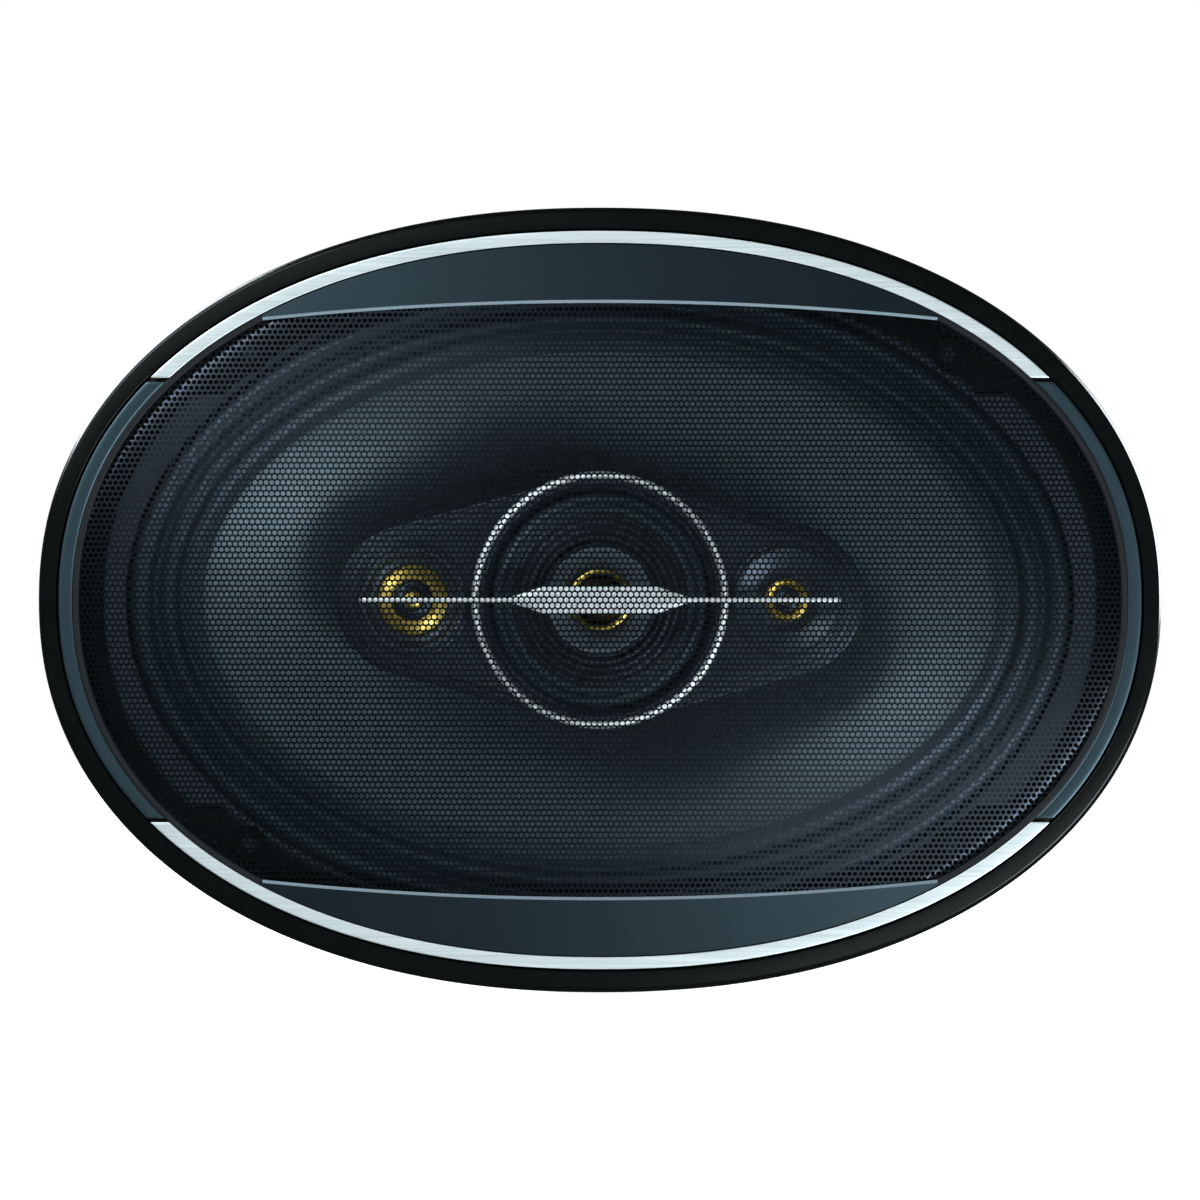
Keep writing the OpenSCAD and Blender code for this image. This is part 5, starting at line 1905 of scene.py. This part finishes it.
        points = rounded([
            (19.4, 5.9), (20.8, 5.9, 0.4), (21.6, 6.9, 0.8), (22.6, 7.3, 0.8), (23.6, 6.8, 0.8),
            (24.2, 5.1, 0.4), (25.2, 5.1)], 4)
        for i in range(8):
            sector = lathe(f"midrange_edge_{i + 1}", points, 12, closed=False,
                           start=45 * i, sweep=45)
            if sum(p.normal.z * p.area for p in sector.data.polygons) < 0:
                sector.data.flip_normals()
            apply_modifier(sector, "SOLIDIFY", thickness=0.35 * MM, offset=-1)
            tidy(sector, 60)
            flex(sector, BUTYL)
            if i == 0:
                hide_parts("mid_surround")

    def left_tweeter(self) -> None:
        """Dished faceplate, gilt ring, film dome and gilt phase plug."""
        x = -self.lobe_x
        plate = lathe("left_tweeter_faceplate", rounded([
            (7.6, 5.6), (10.3, 5.6), (10.3, 8.7), (11.6, 8.7, 0.1), (11.6, 9.6, 0.3), (11.1, 10.0, 0.3),
            (10.5, 10.0, 0.3), (9.6, 8.2, 1.2), (7.6, 7.2), (7.6, 5.6)])[:-1], 96)
        dress(shift(plate, x, 0, 0), FACE_ABS, Body.BASKET, ["left_faceplate"])
        ring = lathe("left_tweeter_gilt_ring", rounded([
            (4.3, 5.6), (7.7, 5.6), (7.7, 7.9, 0.3), (7.3, 8.4, 0.2), (6.9, 8.0, 0.2), (5.3, 7.4, 0.4),
            (4.7, 7.4, 0.2), (4.3, 6.9), (4.3, 5.6)])[:-1], 96)
        dress(shift(ring, x, 0, 0), GILT_PLATE, Body.BASKET, ["left_gilt_ring"])
        dome = lathe("left_tweeter_dome_film", rounded([
            (2.3, 6.6), (2.5, 7.0, 0.2), (3.2, 7.3, 0.4), (3.9, 6.9, 0.2), (4.2, 6.6), (4.1, 6.3),
            (3.7, 6.6), (3.1, 7.0), (2.6, 6.6), (2.4, 6.3), (2.3, 6.6)])[:-1], 64)
        dress(shift(dome, x, 0, 0), DOME_FILM, Body.LEFT_DOME, ["left_diaphragm"])
        plug = lathe("left_tweeter_plug", rounded([
            (0.0, 5.6), (2.0, 5.6), (2.0, 7.3, 0.3), (1.5, 7.9, 0.3), (1.0, 7.7, 0.3), (0.0, 8.2)]), 48,
            closed=False)
        dress(shift(plug, x, 0, 0), GILT_PLATE, Body.BASKET, ["left_phase_plug"])

    def right_tweeter(self) -> None:
        """Conical waveguide, gilt ring, small film dome and gilt phase plug."""
        x = self.lobe_x
        horn = lathe("right_tweeter_waveguide", rounded([
            (4.9, 5.1), (10.3, 5.1), (10.3, 8.7), (11.6, 8.7, 0.1), (11.6, 9.7, 0.2), (11.2, 10.0, 0.2),
            (10.9, 9.9, 0.1), (7.25, 8.3, 0.1), (7.15, 5.5, 0.2), (4.9, 5.5), (4.9, 5.1)])[:-1], 96)
        dress(shift(horn, x, 0, 0), FACE_ABS, Body.BASKET, ["right_waveguide"])
        ring = lathe("right_tweeter_gilt_ring", rounded([
            (3.1, 5.1), (4.8, 5.1), (4.8, 6.9, 0.3), (4.3, 7.3, 0.2), (3.7, 7.1, 0.3), (3.1, 6.4),
            (3.1, 5.1)])[:-1], 64)
        dress(shift(ring, x, 0, 0), GILT_PLATE, Body.BASKET, ["right_gilt_ring"])
        dome = lathe("right_tweeter_dome_film", rounded([
            (1.4, 5.8), (1.6, 6.1, 0.2), (2.1, 6.3, 0.2), (2.6, 6.0, 0.2), (2.8, 5.75), (2.7, 5.5),
            (2.1, 5.9), (1.5, 5.6), (1.4, 5.8)])[:-1], 48)
        dress(shift(dome, x, 0, 0), DOME_FILM, Body.RIGHT_DOME, ["right_diaphragm"])
        plug = lathe("right_tweeter_plug", rounded([
            (0.0, 5.1), (1.0, 5.1), (1.0, 6.0, 0.2), (0.6, 6.5, 0.3), (0.0, 6.6)]), 32, closed=False)
        dress(shift(plug, x, 0, 0), GILT_PLATE, Body.BASKET, ["right_phase_plug"])


# ------------------------------------------------------------------ stage


@dataclass
class Studio:
    """Pale floor, soft lights and the camera straight in front."""

    lens: float = 200.0
    width: float = 0.2625
    floor_z: float = -0.0862

    def build(self) -> None:
        """Lay the floor, hang the lights and set the camera."""
        self.floor()
        self.world()
        self.light("key_softbox", (-0.72, -0.82, 0.78), (0.7, 0.7), 56.0)
        self.light("low_softbox", (0.78, -0.78, -0.62), (0.6, 0.6), 62.0)
        self.light("upper_fill", (-0.33, -1.13, 0.38), (0.5, 0.4), 2.4)
        self.light("lower_fill", (0.33, -1.13, -0.38), (0.5, 0.4), 4.0)
        self.light("back_left_softbox", (-1.0, 1.1, 0.8), (0.9, 0.7), 34.0)
        self.light("back_right_softbox", (1.1, 1.0, 0.35), (0.6, 0.8), 28.0)
        data = bpy.data.cameras.new("camera")
        data.lens = self.lens
        data.sensor_width = 36.0
        camera = bpy.data.objects.new("camera", data)
        distance = self.width * self.lens / 36.0
        camera.location = (0, -distance - 0.01, 0)
        camera.rotation_euler = (math.radians(90), 0, 0)
        bpy.context.scene.collection.objects.link(camera)
        bpy.context.scene.camera = camera
        bpy.context.scene.view_settings.view_transform = "Standard"

    def floor(self) -> None:
        """A pale matt floor under the speaker."""
        deselect()
        bpy.ops.mesh.primitive_plane_add(size=80, location=(0, 0, 0))
        floor = bpy.context.object
        floor.name = "floor"
        floor.data.transform(Matrix.Translation((0, 0, self.floor_z)))
        material = bpy.data.materials.new("pale_floor")
        material.use_nodes = True
        shader = material.node_tree.nodes["Principled BSDF"]
        shader.inputs["Base Color"].default_value = linear("#b4b4b4")
        shader.inputs["Roughness"].default_value = 0.9
        shader.inputs["Specular IOR Level"].default_value = 0.1
        shader.inputs["Emission Color"].default_value = (1, 1, 1, 1)
        shader.inputs["Emission Strength"].default_value = 1.0
        floor.data.materials.append(material)
        # the low softbox stands beyond the edge of the table
        floor.visible_shadow = False
        floor.visible_glossy = False

    def world(self) -> None:
        """White behind the speaker, and a dim room round it."""
        world = bpy.data.worlds.new("studio")
        bpy.context.scene.world = world
        world.use_nodes = True
        tree = world.node_tree
        tree.nodes.clear()
        seen = add(tree, "ShaderNodeBackground", {"Color": (1, 1, 1, 1), "Strength": 1.0})
        room = add(tree, "ShaderNodeBackground", {"Color": (0.9, 0.95, 1, 1), "Strength": 0.06})
        path = add(tree, "ShaderNodeLightPath")
        mix = add(tree, "ShaderNodeMixShader", links={
            0: path.outputs["Is Camera Ray"], 1: room.outputs["Background"],
            2: seen.outputs["Background"]})
        add(tree, "ShaderNodeOutputWorld", links={"Surface": mix.outputs["Shader"]})

    def light(self, name: str, place: Point3, size: Point2, power: float) -> None:
        """Hang a soft rectangular light that points at the speaker.

        Args:
            name: name of the lamp.
            place: where it hangs, in metres.
            size: its width and height in metres.
            power: its power in watts.
        """
        data = bpy.data.lights.new(name, "AREA")
        data.shape = "RECTANGLE"
        data.size, data.size_y = size
        data.energy = power
        data.color = (0.88, 0.96, 1.0)
        lamp = bpy.data.objects.new(name, data)
        lamp.location = place
        aim = Vector((0, 0.02, 0)) - Vector(place)
        lamp.rotation_euler = aim.to_track_quat("-Z", "Y").to_euler()
        bpy.context.scene.collection.objects.link(lamp)


def main() -> None:
    """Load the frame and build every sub-assembly."""
    logging.basicConfig(level=logging.INFO, format="%(message)s")
    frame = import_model()
    Studio().build()
    Basket().build()
    Motor().build(frame)
    Terminals().build()
    Woofer().build(frame)
    Module().build(frame)
    TrimRing().build()
    Grille().build()


if __name__ == "__main__":
    main()
